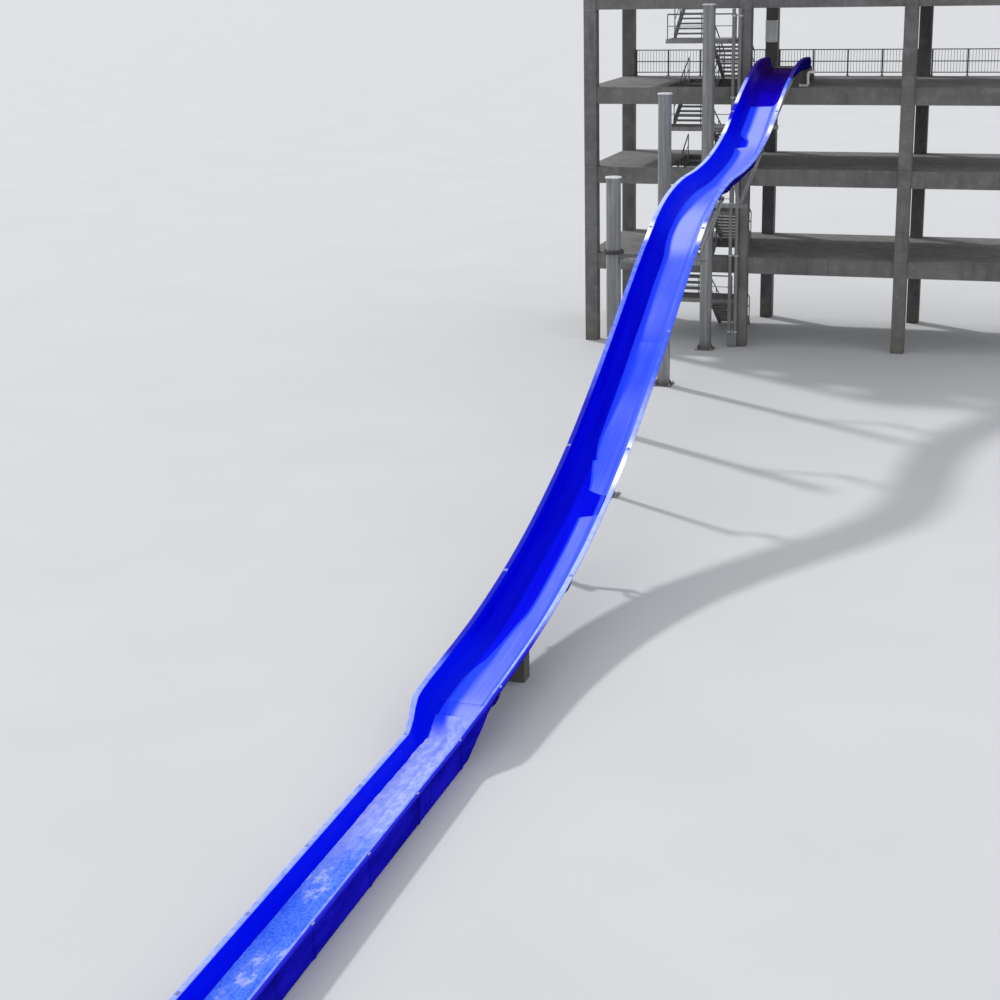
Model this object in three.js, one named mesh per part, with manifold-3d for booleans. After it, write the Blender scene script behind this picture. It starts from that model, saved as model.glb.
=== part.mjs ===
// Water slide tower: an open flume body slide that leaves a concrete launch tower,
// runs over two drops and ends in a flat run-out channel on the ground.
// X is across the slide, +Y is uphill towards the tower and +Z is up.
import * as THREE from 'three';
import { mergeVertices } from 'three/addons/utils/BufferGeometryUtils.js';
import Module from 'manifold-3d';

const wasm = await Module();
wasm.setup();

// Every length below is the real object's, in metres. The model is half size, in millimetres.
const SCALE = 0.5;
const MM = 1000 * SCALE;
const SEAT = 0.3 / MM; // space between two pieces that bear on each other

// Flume: the line of its lips seen from the side, from the top of the start tub down to the
// last moulded section before the run-out. Y = 0 is the tower's front face.
const LIP_LINE = [
  [2.4, 11.34], [0.7, 11.38], [-0.5, 11.29], [-1.7, 11.07], [-3.2, 10.67], [-4.7, 10.15],
  [-6.2, 9.55], [-7.7, 9.08], [-9.7, 8.7], [-11.7, 8.53], [-14.2, 8.47], [-16.2, 8.22],
  [-17.7, 7.8], [-19.2, 7.15], [-20.7, 6.45], [-23.7, 4.95], [-25.7, 4.0], [-27.7, 3.15],
  [-29.7, 2.47], [-31.7, 1.92], [-33.7, 1.52], [-35.7, 1.24], [-37.7, 1.09], [-38.7, 1.04],
];
const FLUME_JOINTS = [2.4, -5.4, -9.5, -13.6, -18.3, -22.9, -27.6, -33.2, -38.7];
const FLUME_NAMES = [
  'start_tub', 'drop_1a', 'drop_1b', 'drop_2a', 'drop_2b', 'drop_2c', 'glide_a', 'glide_b',
];
const RING_STEP = 0.9; // distance between two rings of a flume section
const FLANGE = { out: 0.07, length: 0.06, taper: 0.03 };

// Half of the moulded channel's outline, right side, from the lip. Heights are below the lip.
const CHANNEL_INNER = [[0.865, 0], [0.735, 0], [0.7, -0.2], [0.63, -0.34], [0.53, -0.42], [0.4, -0.45]];
const CHANNEL_OUTER = [
  [0.865, -0.045], [0.775, -0.05], [0.742, -0.205], [0.665, -0.365], [0.55, -0.458], [0.41, -0.49],
];
const CHANNEL_DEPTH = 0.49;
const LIP_THICK = 0.045;

// The start tub has fuller, more upright walls. It swells out of the channel's outline along
// TUB_SWELL, and its walls end in rounded horns with the lip running down round them.
const TUB_INNER = [[0.865, 0], [0.735, 0], [0.73, -0.2], [0.715, -0.34], [0.65, -0.42], [0.45, -0.45]];
const TUB_OUTER = [
  [0.865, -0.045], [0.82, -0.055], [0.81, -0.25], [0.79, -0.42], [0.68, -0.485], [0.41, -0.49],
];
const TUB_SWELL = { from: -2.2, to: -0.3 };
const HORN = { radius: 0.42, turns: [20, 42, 66, 90] };

// Run-out: the same outline with upright walls that stand on the ground.
const RUNOUT_INNER = [[0.625, 0], [0.515, 0], [0.512, -0.3], [0.508, -0.45], [0.48, -0.52], [0.41, -0.54]];
const RUNOUT_OUTER = [[0.625, -0.05], [0.6, -0.055], [0.6, -0.3], [0.6, -0.5], [0.6, -0.62], [0.585, -0.64]];
const RUNOUT_DEPTH = 0.64;
const RUNOUT_START = -40.6;
const RUNOUT_BAY = 2.45;
const RUNOUT_BAYS = 5;
const END_WALL = 0.08;

// Tower frame: four columns wide and two deep.
const COLUMN_X = [-7.6, -1.4, 4.9, 11.2];
const COLUMN_Y = [0.25, 6.55];
const COLUMN = 0.5;
const BEAM = { width: 0.36, depth: 0.65, inset: 0.06 };
const SLAB = 0.16;
const LEVELS = [3.65, 7.15, 10.3, 13.95]; // tops of the four floors

// Stairs: one well in the left bay, each storey climbed by two flights.
const WELL = { x0: -4.65, x1: -1.75, y0: 0.5, y1: 4.75 };
const LANDING = 1.3;
const RISERS = 10;
const TREAD = { thick: 0.06, overlap: 0.03, let: 0.02 };
const STRINGER = { thick: 0.07, depth: 0.3, above: 0.18 };

// Steel supports beside the flume.
const POLE = {
  radius: 0.24, sides: 16, ring: 0.34, ringHeight: 0.1, ringAt: 6.06, cap: 0.27, capHeight: 0.05,
};
const POLES = [
  { name: 'pole_lower', x: -2.97, y: -14.35, top: 8.55, arm: 2.13 },
  { name: 'pole_middle', x: -2.9, y: -7.2, top: 10.65, arm: 2.0 },
  { name: 'pole_upper', x: -2.65, y: -0.7, top: 13.5, arm: 1.9 },
];
const ARM_RADIUS = 0.085;
const CRADLE = { half: 0.66, width: 0.16, height: 0.1 };
const POST_X = -1.25;
const POSTS = [
  { name: 'post_upper', y: -21.5, drop: 1.0 },
  { name: 'post_lower', y: -28.65, drop: 0.8 },
];
const POST_RADIUS = 0.13;
const PEDESTAL = { y: -35.8, width: 1.0, length: 0.4 };

// Places where something carries the flume, and half the straight length it has there.
const SUPPORTS = [
  ...POLES.map(({ y }) => y), ...POSTS.map(({ y }) => y), PEDESTAL.y,
];
const SUPPORT_REACH = 0.32;

// Launch deck fittings.
const PLATFORM = { half: 0.72, back: 3.6, steps: 3, going: 0.3 };
const PIPE_RADIUS = 0.055;
const FEED = { behind: 0.3, run: 0.32, rise: 0.52, reach: 0.62 };
const RAIN_PIPE = { radius: 0.07, offsets: [-0.4, -0.16], clampStep: 3.1, clamp: 0.06 };
const RAIL = { height: 1.1, post: 0.06, bar: 0.04, spacing: 1.5, inset: 0.12 };

const PAINT = {
  flume: { color: 0x1a2fd6, roughness: 0.28, metalness: 0 },
  concrete: { color: 0x8d8d8a, roughness: 0.92, metalness: 0 },
  steel: { color: 0x7f8386, roughness: 0.5, metalness: 0.6 },
  rail: { color: 0x55595c, roughness: 0.55, metalness: 0.5 },
  pipe: { color: 0xd9dad6, roughness: 0.45, metalness: 0 },
};

const tower = new THREE.Group();
tower.name = 'water_slide_tower';

// Adds a geometry given in metres to the model as one named piece.
function addPiece(name, geometry, paint) {
  geometry.scale(MM, MM, MM);
  geometry.computeVertexNormals();
  const mesh = new THREE.Mesh(geometry, new THREE.MeshStandardMaterial(PAINT[paint]));
  mesh.name = name;
  tower.add(mesh);
}

function toSolid(geometry) {
  const bare = geometry.clone();
  bare.deleteAttribute('normal');
  bare.deleteAttribute('uv');
  const welded = mergeVertices(bare, 1e-5);
  return new wasm.Manifold(new wasm.Mesh({
    numProp: 3,
    vertProperties: new Float32Array(welded.attributes.position.array),
    triVerts: new Uint32Array(welded.index.array),
  }));
}

function fromSolid(solid) {
  const mesh = solid.getMesh();
  const geometry = new THREE.BufferGeometry();
  geometry.setAttribute('position', new THREE.BufferAttribute(new Float32Array(mesh.vertProperties), 3));
  geometry.setIndex(new THREE.BufferAttribute(new Uint32Array(mesh.triVerts), 1));
  return geometry;
}

function join(geometries) {
  return geometries.map(toSolid).reduce((sum, part) => sum.add(part));
}

// A box given by its low and high corners.
function box(low, high) {
  const size = high.map((value, i) => value - low[i]);
  const geometry = new THREE.BoxGeometry(...size);
  return geometry.translate(...low.map((value, i) => value + size[i] / 2));
}

// A round bar between two points.
function bar(from, to, radius, sides = 10) {
  const a = new THREE.Vector3(...from);
  const b = new THREE.Vector3(...to);
  const along = b.clone().sub(a);
  const geometry = new THREE.CylinderGeometry(radius, radius, along.length(), sides);
  const turn = new THREE.Quaternion().setFromUnitVectors(new THREE.Vector3(0, 1, 0), along.normalize());
  geometry.applyQuaternion(turn);
  return geometry.translate(...a.add(b).multiplyScalar(0.5).toArray());
}

// A round post with one flat turned towards +X.
function upright(x, y, z0, z1, radius, sides) {
  const geometry = new THREE.CylinderGeometry(radius, radius, z1 - z0, sides).rotateY(Math.PI / sides);
  return geometry.rotateX(Math.PI / 2).translate(x, y, (z0 + z1) / 2);
}

// A side profile, given as [y, z] corners, carried across from x0 to x1.
function sideProfile(corners, x0, x1) {
  const shape = new THREE.Shape(corners.map(([y, z]) => new THREE.Vector2(y, z)));
  const geometry = new THREE.ExtrudeGeometry(shape, { depth: x1 - x0, bevelEnabled: false });
  const turn = new THREE.Matrix4().set(0, 0, 1, 0, 1, 0, 0, 0, 0, 1, 0, 0, 0, 0, 0, 1);
  return geometry.applyMatrix4(turn).translate(x0, 0, 0);
}

// Height and slope of the lip line at a place along the slide: a smooth curve through LIP_LINE.
function lipAt(y) {
  let k = 0;
  while (k < LIP_LINE.length - 2 && LIP_LINE[k + 1][0] > y) k += 1;
  const grade = (i) => {
    const a = LIP_LINE[Math.max(i - 1, 0)];
    const b = LIP_LINE[Math.min(i + 1, LIP_LINE.length - 1)];
    return (b[1] - a[1]) / (b[0] - a[0]);
  };
  const [y0, z0] = LIP_LINE[k];
  const [y1, z1] = LIP_LINE[k + 1];
  const span = y1 - y0;
  const t = (y - y0) / span;
  const m0 = grade(k) * span;
  const m1 = grade(k + 1) * span;
  const z = (2 * t ** 3 - 3 * t ** 2 + 1) * z0 + (t ** 3 - 2 * t ** 2 + t) * m0
    + (3 * t ** 2 - 2 * t ** 3) * z1 + (t ** 3 - t ** 2) * m1;
  const rise = (6 * t ** 2 - 6 * t) * (z0 - z1) + (3 * t ** 2 - 4 * t + 1) * m0 + (3 * t ** 2 - 2 * t) * m1;
  const slope = rise / span;
  return { z, slope };
}

// Places of the rings of one flume section. Each support gets a ring on both sides of it,
// so that the channel is straight where it bears on something.
function ringPlaces(from, to) {
  const steps = Math.max(1, Math.round((from - to) / RING_STEP));
  const places = [];
  for (let i = 0; i <= steps; i += 1) places.push(from + ((to - from) * i) / steps);
  const near = (y) => SUPPORTS.some((at) => Math.abs(at - y) < 2 * SUPPORT_REACH);
  const kept = places.filter((y, i) => i === 0 || i === steps || !near(y));
  for (const at of SUPPORTS) {
    const inside = at + SUPPORT_REACH < from && at - SUPPORT_REACH > to;
    if (inside) kept.push(at + SUPPORT_REACH, at - SUPPORT_REACH);
  }
  if (from > FLUME_JOINTS[1]) {
    for (const turn of HORN.turns) {
      kept.push(from - HORN.radius * (1 - Math.cos(THREE.MathUtils.degToRad(turn))));
    }
  }
  return kept.sort((a, b) => b - a);
}

// The line of the channel's underside through all rings, as [y, z] from the top down.
const UNDERSIDE = FLUME_JOINTS.slice(1).flatMap((bottom, i) => (
  ringPlaces(sectionBody(FLUME_JOINTS[i], bottom, i > 0).from, sectionBody(FLUME_JOINTS[i], bottom, i > 0).to)
)).map((y) => {
  const { z, slope } = lipAt(y);
  const length = Math.hypot(1, slope);
  return [y + (slope * CHANNEL_DEPTH) / length, z - CHANNEL_DEPTH / length];
});

// Height and slope of that underside at a place along the slide.
function undersideAt(y) {
  const k = Math.max(0, UNDERSIDE.findIndex(([next]) => next < y) - 1);
  const [y0, z0] = UNDERSIDE[k];
  const [y1, z1] = UNDERSIDE[k + 1];
  const slope = (z1 - z0) / (y1 - y0);
  return { z: z0 + slope * (y - y0), slope };
}

// The whole closed outline from its right half: down the inside, across and up the left,
// then back along the outside. 'flange' pushes the outside out at a bolted joint.
function outline(inner, outer, flange = 0) {
  const pushed = outer.map(([x, h], i) => {
    if (flange === 0 || i === 0) return [x, h];
    const low = i / (outer.length - 1);
    return [x + flange * (1 - 0.8 * low), h - flange * low];
  });
  const mirror = (points) => points.map(([x, h]) => [-x, h]);
  return [
    ...inner,
    ...mirror(inner).reverse(),
    ...mirror(pushed),
    ...pushed.slice().reverse(),
  ];
}

function mix(a, b, t) {
  return a.map(([x, h], i) => [x + (b[i][0] - x) * t, h + (b[i][1] - h) * t]);
}

// Carries an outline through a row of rings and closes both ends.
// A ring is its lip height z at y, the slope it stands square to, and its outline.
function sweep(rings) {
  const positions = [];
  const index = [];
  const count = rings[0].points.length;
  for (const { y, z, slope, points } of rings) {
    const length = Math.hypot(1, slope);
    for (const [x, h] of points) positions.push(x, y - (slope / length) * h, z + h / length);
  }
  for (let ring = 0; ring < rings.length - 1; ring += 1) {
    for (let i = 0; i < count; i += 1) {
      const a = ring * count + i;
      const b = ring * count + ((i + 1) % count);
      index.push(a, b, a + count, b, b + count, a + count);
    }
  }
  const cap = (ring) => THREE.ShapeUtils.triangulateShape(
    rings[ring].points.map(([x, h]) => new THREE.Vector2(x, h)),
    [],
  );
  const last = rings.length - 1;
  for (const [a, b, c] of cap(0)) index.push(a, c, b);
  for (const [a, b, c] of cap(last)) index.push(last * count + a, last * count + b, last * count + c);
  return outward(positions, index);
}

// Turns the faces over where the body's signed volume comes out negative.
function outward(positions, index) {
  const at = (i) => new THREE.Vector3(...positions.slice(3 * i, 3 * i + 3));
  let volume = 0;
  for (let i = 0; i < index.length; i += 3) {
    volume += at(index[i]).dot(at(index[i + 1]).cross(at(index[i + 2])));
  }
  if (volume < 0) index.reverse();
  const geometry = new THREE.BufferGeometry();
  geometry.setAttribute('position', new THREE.Float32BufferAttribute(positions, 3));
  geometry.setIndex(index);
  return geometry;
}

// How far the horns' rounding has brought the lip down at a place.
function hornDrop(y) {
  const into = y - (FLUME_JOINTS[0] - HORN.radius);
  return into > 0 ? HORN.radius - Math.sqrt(HORN.radius ** 2 - into ** 2) : 0;
}

function channelRing(y, flange) {
  const swell = THREE.MathUtils.smoothstep(y, TUB_SWELL.from, TUB_SWELL.to);
  const drop = hornDrop(y);
  const under = (points, height) => points.map(([x, h]) => [x, Math.min(h, -height)]);
  const inner = under(mix(CHANNEL_INNER, TUB_INNER, swell), drop);
  const outer = under(mix(CHANNEL_OUTER, TUB_OUTER, swell), drop + LIP_THICK);
  return { y, ...lipAt(y), points: outline(inner, outer, flange) };
}

// Where a section's plain body starts and ends between its bolting flanges.
function sectionBody(top, bottom, flangeTop) {
  const shoulder = FLANGE.length + FLANGE.taper;
  const start = top - SEAT / 2;
  const end = bottom + SEAT / 2;
  return { start, end, from: flangeTop ? start - shoulder : start, to: end + shoulder };
}

// One moulded section between two joints, with a bolting flange at each joined end.
function flumeSection(top, bottom, flangeTop) {
  const { start, end, from, to } = sectionBody(top, bottom, flangeTop);
  const rings = ringPlaces(from, to).map((y) => channelRing(y, 0));
  if (flangeTop) {
    rings.unshift(channelRing(start, FLANGE.out), channelRing(start - FLANGE.length, FLANGE.out));
  }
  rings.push(channelRing(end + FLANGE.length, FLANGE.out), channelRing(end, FLANGE.out));
  return sweep(rings);
}

// The section that carries the flume down into the run-out: its lips step down and inwards.
function transitionSection() {
  const top = FLUME_JOINTS[FLUME_JOINTS.length - 1] - SEAT / 2;
  const blend = (t, depth, flange = 0) => {
    const whole = CHANNEL_DEPTH + (RUNOUT_DEPTH - CHANNEL_DEPTH) * t;
    const tall = (points) => points.map(([x, h]) => [x, (h * depth) / whole]);
    const inner = mix(CHANNEL_INNER, RUNOUT_INNER, t);
    const outer = mix(CHANNEL_OUTER, RUNOUT_OUTER, t);
    return outline(tall(inner), tall(outer), flange);
  };
  const { slope } = lipAt(top);
  const ring = (y, grade, lip, t, depth, flange) => (
    { y, z: lip, slope: grade, points: blend(t, depth, flange) }
  );
  return sweep([
    ring(top, slope, lipAt(top).z, 0, CHANNEL_DEPTH, FLANGE.out),
    ring(top - FLANGE.length, slope, lipAt(top - FLANGE.length).z, 0, CHANNEL_DEPTH, FLANGE.out),
    ring(top - FLANGE.length - FLANGE.taper, slope, 1.035, 0.02, 0.52),
    ring(-39.15, 0.02, 1.01, 0.05, 0.6),
    ring(-39.45, 0.02, 0.97, 0.1, 0.75),
    ring(-39.8, 0, 0.87, 0.38, 0.79),
    ring(-40.1, 0, 0.765, 0.7, 0.765),
    ring(-40.45, 0, 0.67, 0.95, 0.67),
    ring(RUNOUT_START + SEAT / 2, 0, RUNOUT_DEPTH, 1, RUNOUT_DEPTH),
  ]);
}

function runoutSection(number) {
  const top = RUNOUT_START - number * RUNOUT_BAY - SEAT / 2;
  const bottom = RUNOUT_START - (number + 1) * RUNOUT_BAY + SEAT / 2;
  const points = outline(RUNOUT_INNER, RUNOUT_OUTER);
  return sweep([top, bottom].map((y) => ({ y, z: RUNOUT_DEPTH, slope: 0, points })));
}

for (let i = 0; i < FLUME_NAMES.length; i += 1) {
  addPiece(FLUME_NAMES[i], flumeSection(FLUME_JOINTS[i], FLUME_JOINTS[i + 1], i > 0), 'flume');
}
addPiece('transition', transitionSection(), 'flume');
for (let i = 0; i < RUNOUT_BAYS; i += 1) addPiece(`runout_${i + 1}`, runoutSection(i), 'flume');
const runoutEnd = RUNOUT_START - RUNOUT_BAYS * RUNOUT_BAY;
const endHalf = RUNOUT_INNER[0][0];
const endWall = box([-endHalf, runoutEnd - END_WALL, 0], [endHalf, runoutEnd - SEAT, RUNOUT_DEPTH]);
addPiece('runout_end_wall', endWall, 'flume');

// Concrete columns, each one piece from the ground to the top floor.
const top = LEVELS[LEVELS.length - 1];
const columnBox = (x, y, grow, z1) => box(
  [x - COLUMN / 2 - grow, y - COLUMN / 2 - grow, -grow],
  [x + COLUMN / 2 + grow, y + COLUMN / 2 + grow, z1 + grow],
);
const ROWS = ['front', 'rear'];
for (const [row, y] of COLUMN_Y.entries()) {
  for (const [i, x] of COLUMN_X.entries()) {
    addPiece(`column_${ROWS[row]}_${i + 1}`, columnBox(x, y, 0, top), 'concrete');
  }
}

// A floor: beams on every column line, a slab over them, the stairwell and the columns cut out.
function floorSolid(level) {
  const outer = COLUMN / 2 - BEAM.inset;
  const x0 = COLUMN_X[0] - outer;
  const x1 = COLUMN_X[COLUMN_X.length - 1] + outer;
  const y0 = COLUMN_Y[0] - outer;
  const y1 = COLUMN_Y[1] + outer;
  const low = level - BEAM.depth;
  const pieces = [
    box([x0, y0, level - SLAB], [x1, y1, level]),
    box([x0, y0, low], [x1, y0 + BEAM.width, level]),
    box([x0, y1 - BEAM.width, low], [x1, y1, level]),
    box([x0, y0, low], [x0 + BEAM.width, y1, level]),
    box([x1 - BEAM.width, y0, low], [x1, y1, level]),
  ];
  for (const x of COLUMN_X.slice(1, -1)) {
    pieces.push(box([x - BEAM.width / 2, y0, low], [x + BEAM.width / 2, y1, level]));
  }
  let floor = join(pieces);
  floor = floor.subtract(toSolid(box([WELL.x0, WELL.y0, low - 1], [WELL.x1, WELL.y1, level + 1])));
  for (const x of COLUMN_X) {
    for (const y of COLUMN_Y) floor = floor.subtract(toSolid(columnBox(x, y, SEAT, top + 1)));
  }
  return fromSolid(floor);
}
for (const [i, level] of LEVELS.entries()) addPiece(`floor_${i + 1}`, floorSolid(level), 'concrete');

// An open flight between two heights. 'way' is +1 where it climbs away from the front.
function flightPieces(z0, z1, yFrom, way, xLow, xHigh) {
  const run = WELL.y1 - WELL.y0 - LANDING - 2 * SEAT;
  const rise = (z1 - z0) / RISERS;
  const going = run / (RISERS - 1);
  const slope = (z1 - z0) / run;
  const low = z0 + STRINGER.above - STRINGER.depth;
  const foot = Math.max(low, 0);
  const corners = [
    [0, z0 + STRINGER.above],
    [0, foot],
    [run, z1 + STRINGER.above - STRINGER.depth],
    [run, z1],
    [run - STRINGER.above / slope, z1],
  ];
  if (foot > low) corners.splice(2, 0, [(foot - low) / slope, foot]);
  const placed = corners.map(([along, z]) => [yFrom + way * along, z]);
  const pieces = [xLow, xHigh - STRINGER.thick].map((x) => sideProfile(placed, x, x + STRINGER.thick));
  for (let i = 1; i < RISERS; i += 1) {
    const z = z0 + rise * i;
    const ends = [yFrom + way * (going * (i - 1) - TREAD.overlap), yFrom + way * going * i];
    ends.sort((a, b) => a - b);
    pieces.push(box([xLow + TREAD.let, ends[0], z - TREAD.thick], [xHigh - TREAD.let, ends[1], z]));
  }
  return pieces;
}

// Each storey: a lower flight forwards to a half landing, and an upper flight back to the next floor.
const wellMiddle = (WELL.x0 + WELL.x1) / 2;
const landingBack = WELL.y0 + LANDING;
LEVELS.forEach((level, i) => {
  const below = i === 0 ? 0 : LEVELS[i - 1];
  const half = (below + level) / 2;
  const lowerX = [wellMiddle + 0.06, WELL.x1 - 0.06];
  const lower = flightPieces(below, half, WELL.y1 - SEAT, -1, ...lowerX);
  lower.push(box([WELL.x0 + 0.02, WELL.y0, half - SLAB], [WELL.x1 - 0.02, landingBack, half]));
  lower.push(box([lowerX[0], landingBack - 0.1, half - SLAB], [lowerX[1], landingBack + 0.05, half]));
  addPiece(`stair_${i + 1}_lower`, fromSolid(join(lower)), 'concrete');
  const upper = flightPieces(half, level, landingBack + SEAT, 1, WELL.x0 + 0.06, wellMiddle - 0.06);
  addPiece(`stair_${i + 1}_upper`, fromSolid(join(upper)), 'concrete');
});

// Steel poles beside the flume, each with a bolted joint ring, a base plate and a cap.
for (const { name, x, y, top: height, arm } of POLES) {
  const pieces = [
    upright(x, y, 0, height, POLE.radius, POLE.sides),
    upright(x, y, POLE.ringAt, POLE.ringAt + POLE.ringHeight, POLE.ring, POLE.sides),
    upright(x, y, height - POLE.capHeight, height, POLE.cap, POLE.sides),
    box([x - 0.35, y - 0.35, 0], [x + 0.35, y + 0.35, 0.04]),
  ];
  addPiece(name, fromSolid(join(pieces)), 'steel');
  const root = x + POLE.radius * Math.cos(Math.PI / POLE.sides) + SEAT;
  addPiece(`${name}_bracket`, fromSolid(bracket(y, root, undersideAt(y).z - arm)), 'steel');
}

// The crossbar that the channel lies in, tilted to its slope.
function cradle(y) {
  const { z, slope } = undersideAt(y);
  const geometry = box([-CRADLE.half, -CRADLE.width / 2, -CRADLE.height], [CRADLE.half, CRADLE.width / 2, 0]);
  return geometry.rotateX(Math.atan(slope)).translate(0, y, z - SEAT * Math.hypot(1, slope));
}

// A level arm from its root to below the channel, with two struts up to the cradle.
function bracket(y, root, z) {
  const seat = undersideAt(y).z - CRADLE.height - 0.02;
  const reach = CRADLE.half - ARM_RADIUS;
  return join([
    bar([root, y, z], [0.1, y, z], ARM_RADIUS),
    box([root, y - 0.04, z - 0.14], [root + 0.03, y + 0.04, z + 0.14]),
    bar([-0.15, y, z], [reach, y, seat], ARM_RADIUS * 0.8),
    bar([-0.15, y, z], [-reach, y, seat], ARM_RADIUS * 0.8),
    cradle(y),
  ]);
}

// Posts under the lower half, each joined to its own bracket.
for (const { name, y, drop } of POSTS) {
  const arm = undersideAt(y).z - drop;
  const solid = join([
    upright(POST_X, y, 0, arm + 0.3, POST_RADIUS, 12),
    box([POST_X - 0.25, y - 0.25, 0], [POST_X + 0.25, y + 0.25, 0.03]),
  ]).add(bracket(y, POST_X, arm));
  addPiece(name, fromSolid(solid), 'steel');
}

// A low concrete pedestal where the flume is close to the ground.
const bearing = (y) => [y, undersideAt(y).z - SEAT];
const pedestalBack = PEDESTAL.y + PEDESTAL.length / 2;
const pedestalFront = PEDESTAL.y - PEDESTAL.length / 2;
addPiece('pedestal', sideProfile([
  [pedestalFront, 0], [pedestalBack, 0], bearing(pedestalBack), bearing(pedestalFront),
], -PEDESTAL.width / 2, PEDESTAL.width / 2), 'concrete');

// Launch platform: the start tub lies on its sloping front, with steps down at the back.
const deck = LEVELS[2];
const platformFront = COLUMN_Y[0] - COLUMN / 2 + BEAM.inset;
const [tubEnd, tubFloor] = UNDERSIDE[0];
const platformTop = tubFloor + 0.05;
const stepRise = (platformTop - deck) / PLATFORM.steps;
const platform = [
  [platformFront, deck + SEAT],
  bearing(platformFront),
  ...UNDERSIDE.map(([y]) => y).filter((y) => y > platformFront && y < tubEnd).reverse().map(bearing),
  bearing(tubEnd + 0.03),
  [tubEnd + 0.03, platformTop],
];
for (let i = 0; i < PLATFORM.steps; i += 1) {
  const y = PLATFORM.back + i * PLATFORM.going;
  const lift = i === PLATFORM.steps - 1 ? SEAT : 0;
  platform.push([y, platformTop - stepRise * i], [y, platformTop - stepRise * (i + 1) + lift]);
}
addPiece('launch_platform', sideProfile(platform, -PLATFORM.half, PLATFORM.half), 'concrete');

// Water feed pipe beside the start tub.
const feedY = platformFront + FEED.behind;
const feedZ = deck + PIPE_RADIUS + SEAT;
const feedX = PLATFORM.half + SEAT;
const bendX = feedX + FEED.run;
const feedTop = feedZ + FEED.rise;
addPiece('feed_pipe', fromSolid(join([
  bar([feedX, feedY, feedZ], [bendX + 0.04, feedY, feedZ], PIPE_RADIUS),
  upright(bendX, feedY, feedZ - PIPE_RADIUS * 0.9, feedTop + 0.03, PIPE_RADIUS, 10),
  bar([bendX, feedY, feedTop], [feedX + FEED.reach, feedY, feedTop], PIPE_RADIUS),
])), 'pipe');

// Two rainwater pipes clamped to the face of the second front column, from under the top floor down.
const pipeY = COLUMN_Y[0] - COLUMN / 2 - RAIN_PIPE.radius - 0.03;
const pipeTop = top - BEAM.depth;
const pipeXs = RAIN_PIPE.offsets.map((offset) => COLUMN_X[1] + offset);
const rainPipes = pipeXs.map((x) => upright(x, pipeY, 0, pipeTop, RAIN_PIPE.radius, 10));
for (let z = 0.6; z < pipeTop; z += RAIN_PIPE.clampStep) {
  const columnFace = COLUMN_Y[0] - COLUMN / 2 - SEAT;
  rainPipes.push(box([pipeXs[0] - 0.1, pipeY, z], [pipeXs[1] + 0.1, columnFace, z + RAIN_PIPE.clamp]));
}
addPiece('rain_pipes', fromSolid(join(rainPipes)), 'pipe');

// Control box on the rear column behind the start.
const CONTROL = { half: 0.25, deep: 0.2, bottom: 1.4, top: 2.3 };
const boxFace = COLUMN_Y[1] - COLUMN / 2 - SEAT;
const controlBox = box(
  [COLUMN_X[1] - CONTROL.half, boxFace - CONTROL.deep, deck + CONTROL.bottom],
  [COLUMN_X[1] + CONTROL.half, boxFace, deck + CONTROL.top],
);
addPiece('control_box', controlBox, 'pipe');

// A railing panel along X or Y: posts and three rails, standing on a floor.
function railing(from, to, level) {
  const axis = from[0] === to[0] ? 1 : 0;
  const length = to[axis] - from[axis];
  const bays = Math.round(length / RAIL.spacing);
  const half = RAIL.post / 2;
  const pieces = [];
  for (let i = 0; i <= bays; i += 1) {
    const place = [...from];
    place[axis] += (length * i) / bays;
    pieces.push(box(
      [place[0] - half, place[1] - half, level + SEAT],
      [place[0] + half, place[1] + half, level + RAIL.height],
    ));
  }
  for (const height of [0.15, 0.6, RAIL.height - RAIL.bar / 2]) {
    const thick = RAIL.bar / 2;
    pieces.push(box(
      [from[0] - thick, from[1] - thick, level + height - thick],
      [to[0] + thick, to[1] + thick, level + height + thick],
    ));
  }
  return fromSolid(join(pieces));
}
const railX0 = COLUMN_X[0] - COLUMN / 2 + RAIL.inset;
const railX1 = COLUMN_X[3] + COLUMN / 2 - RAIL.inset;
const railY0 = COLUMN_Y[0] - COLUMN / 2 + RAIL.inset;
const railY1 = COLUMN_Y[1] + COLUMN / 2 - RAIL.inset;
const corner = 0.15;
addPiece('top_rail_front', railing([railX0 + corner, railY0], [railX1 - corner, railY0], top), 'rail');
addPiece('top_rail_rear', railing([railX0 + corner, railY1], [railX1 - corner, railY1], top), 'rail');
addPiece('top_rail_left', railing([railX0, railY0], [railX0, railY1], top), 'rail');
addPiece('top_rail_right', railing([railX1, railY0], [railX1, railY1], top), 'rail');

// The launch deck is railed behind, one panel between each pair of rear columns.
const clear = COLUMN / 2 + 0.05;
for (let i = 0; i < COLUMN_X.length - 1; i += 1) {
  const ends = [[COLUMN_X[i] + clear, railY1], [COLUMN_X[i + 1] - clear, railY1]];
  addPiece(`launch_rail_${i + 1}`, railing(...ends, deck), 'rail');
}

// The origin is the middle of the footprint, on the ground.
const bounds = new THREE.Box3().setFromObject(tower);
const centre = bounds.getCenter(new THREE.Vector3());
for (const mesh of tower.children) mesh.geometry.translate(-centre.x, -centre.y, -bounds.min.z);

export default tower;
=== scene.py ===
"""Looks of the half-size water slide tower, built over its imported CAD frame.

X is across the slide, +Y is uphill towards the tower and +Z is up. Sizes in the tables below are the
real object's, in metres, and at() turns a real point into a point of the half-size model.
"""
import math

import bpy
from mathutils import Matrix, Vector


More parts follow.
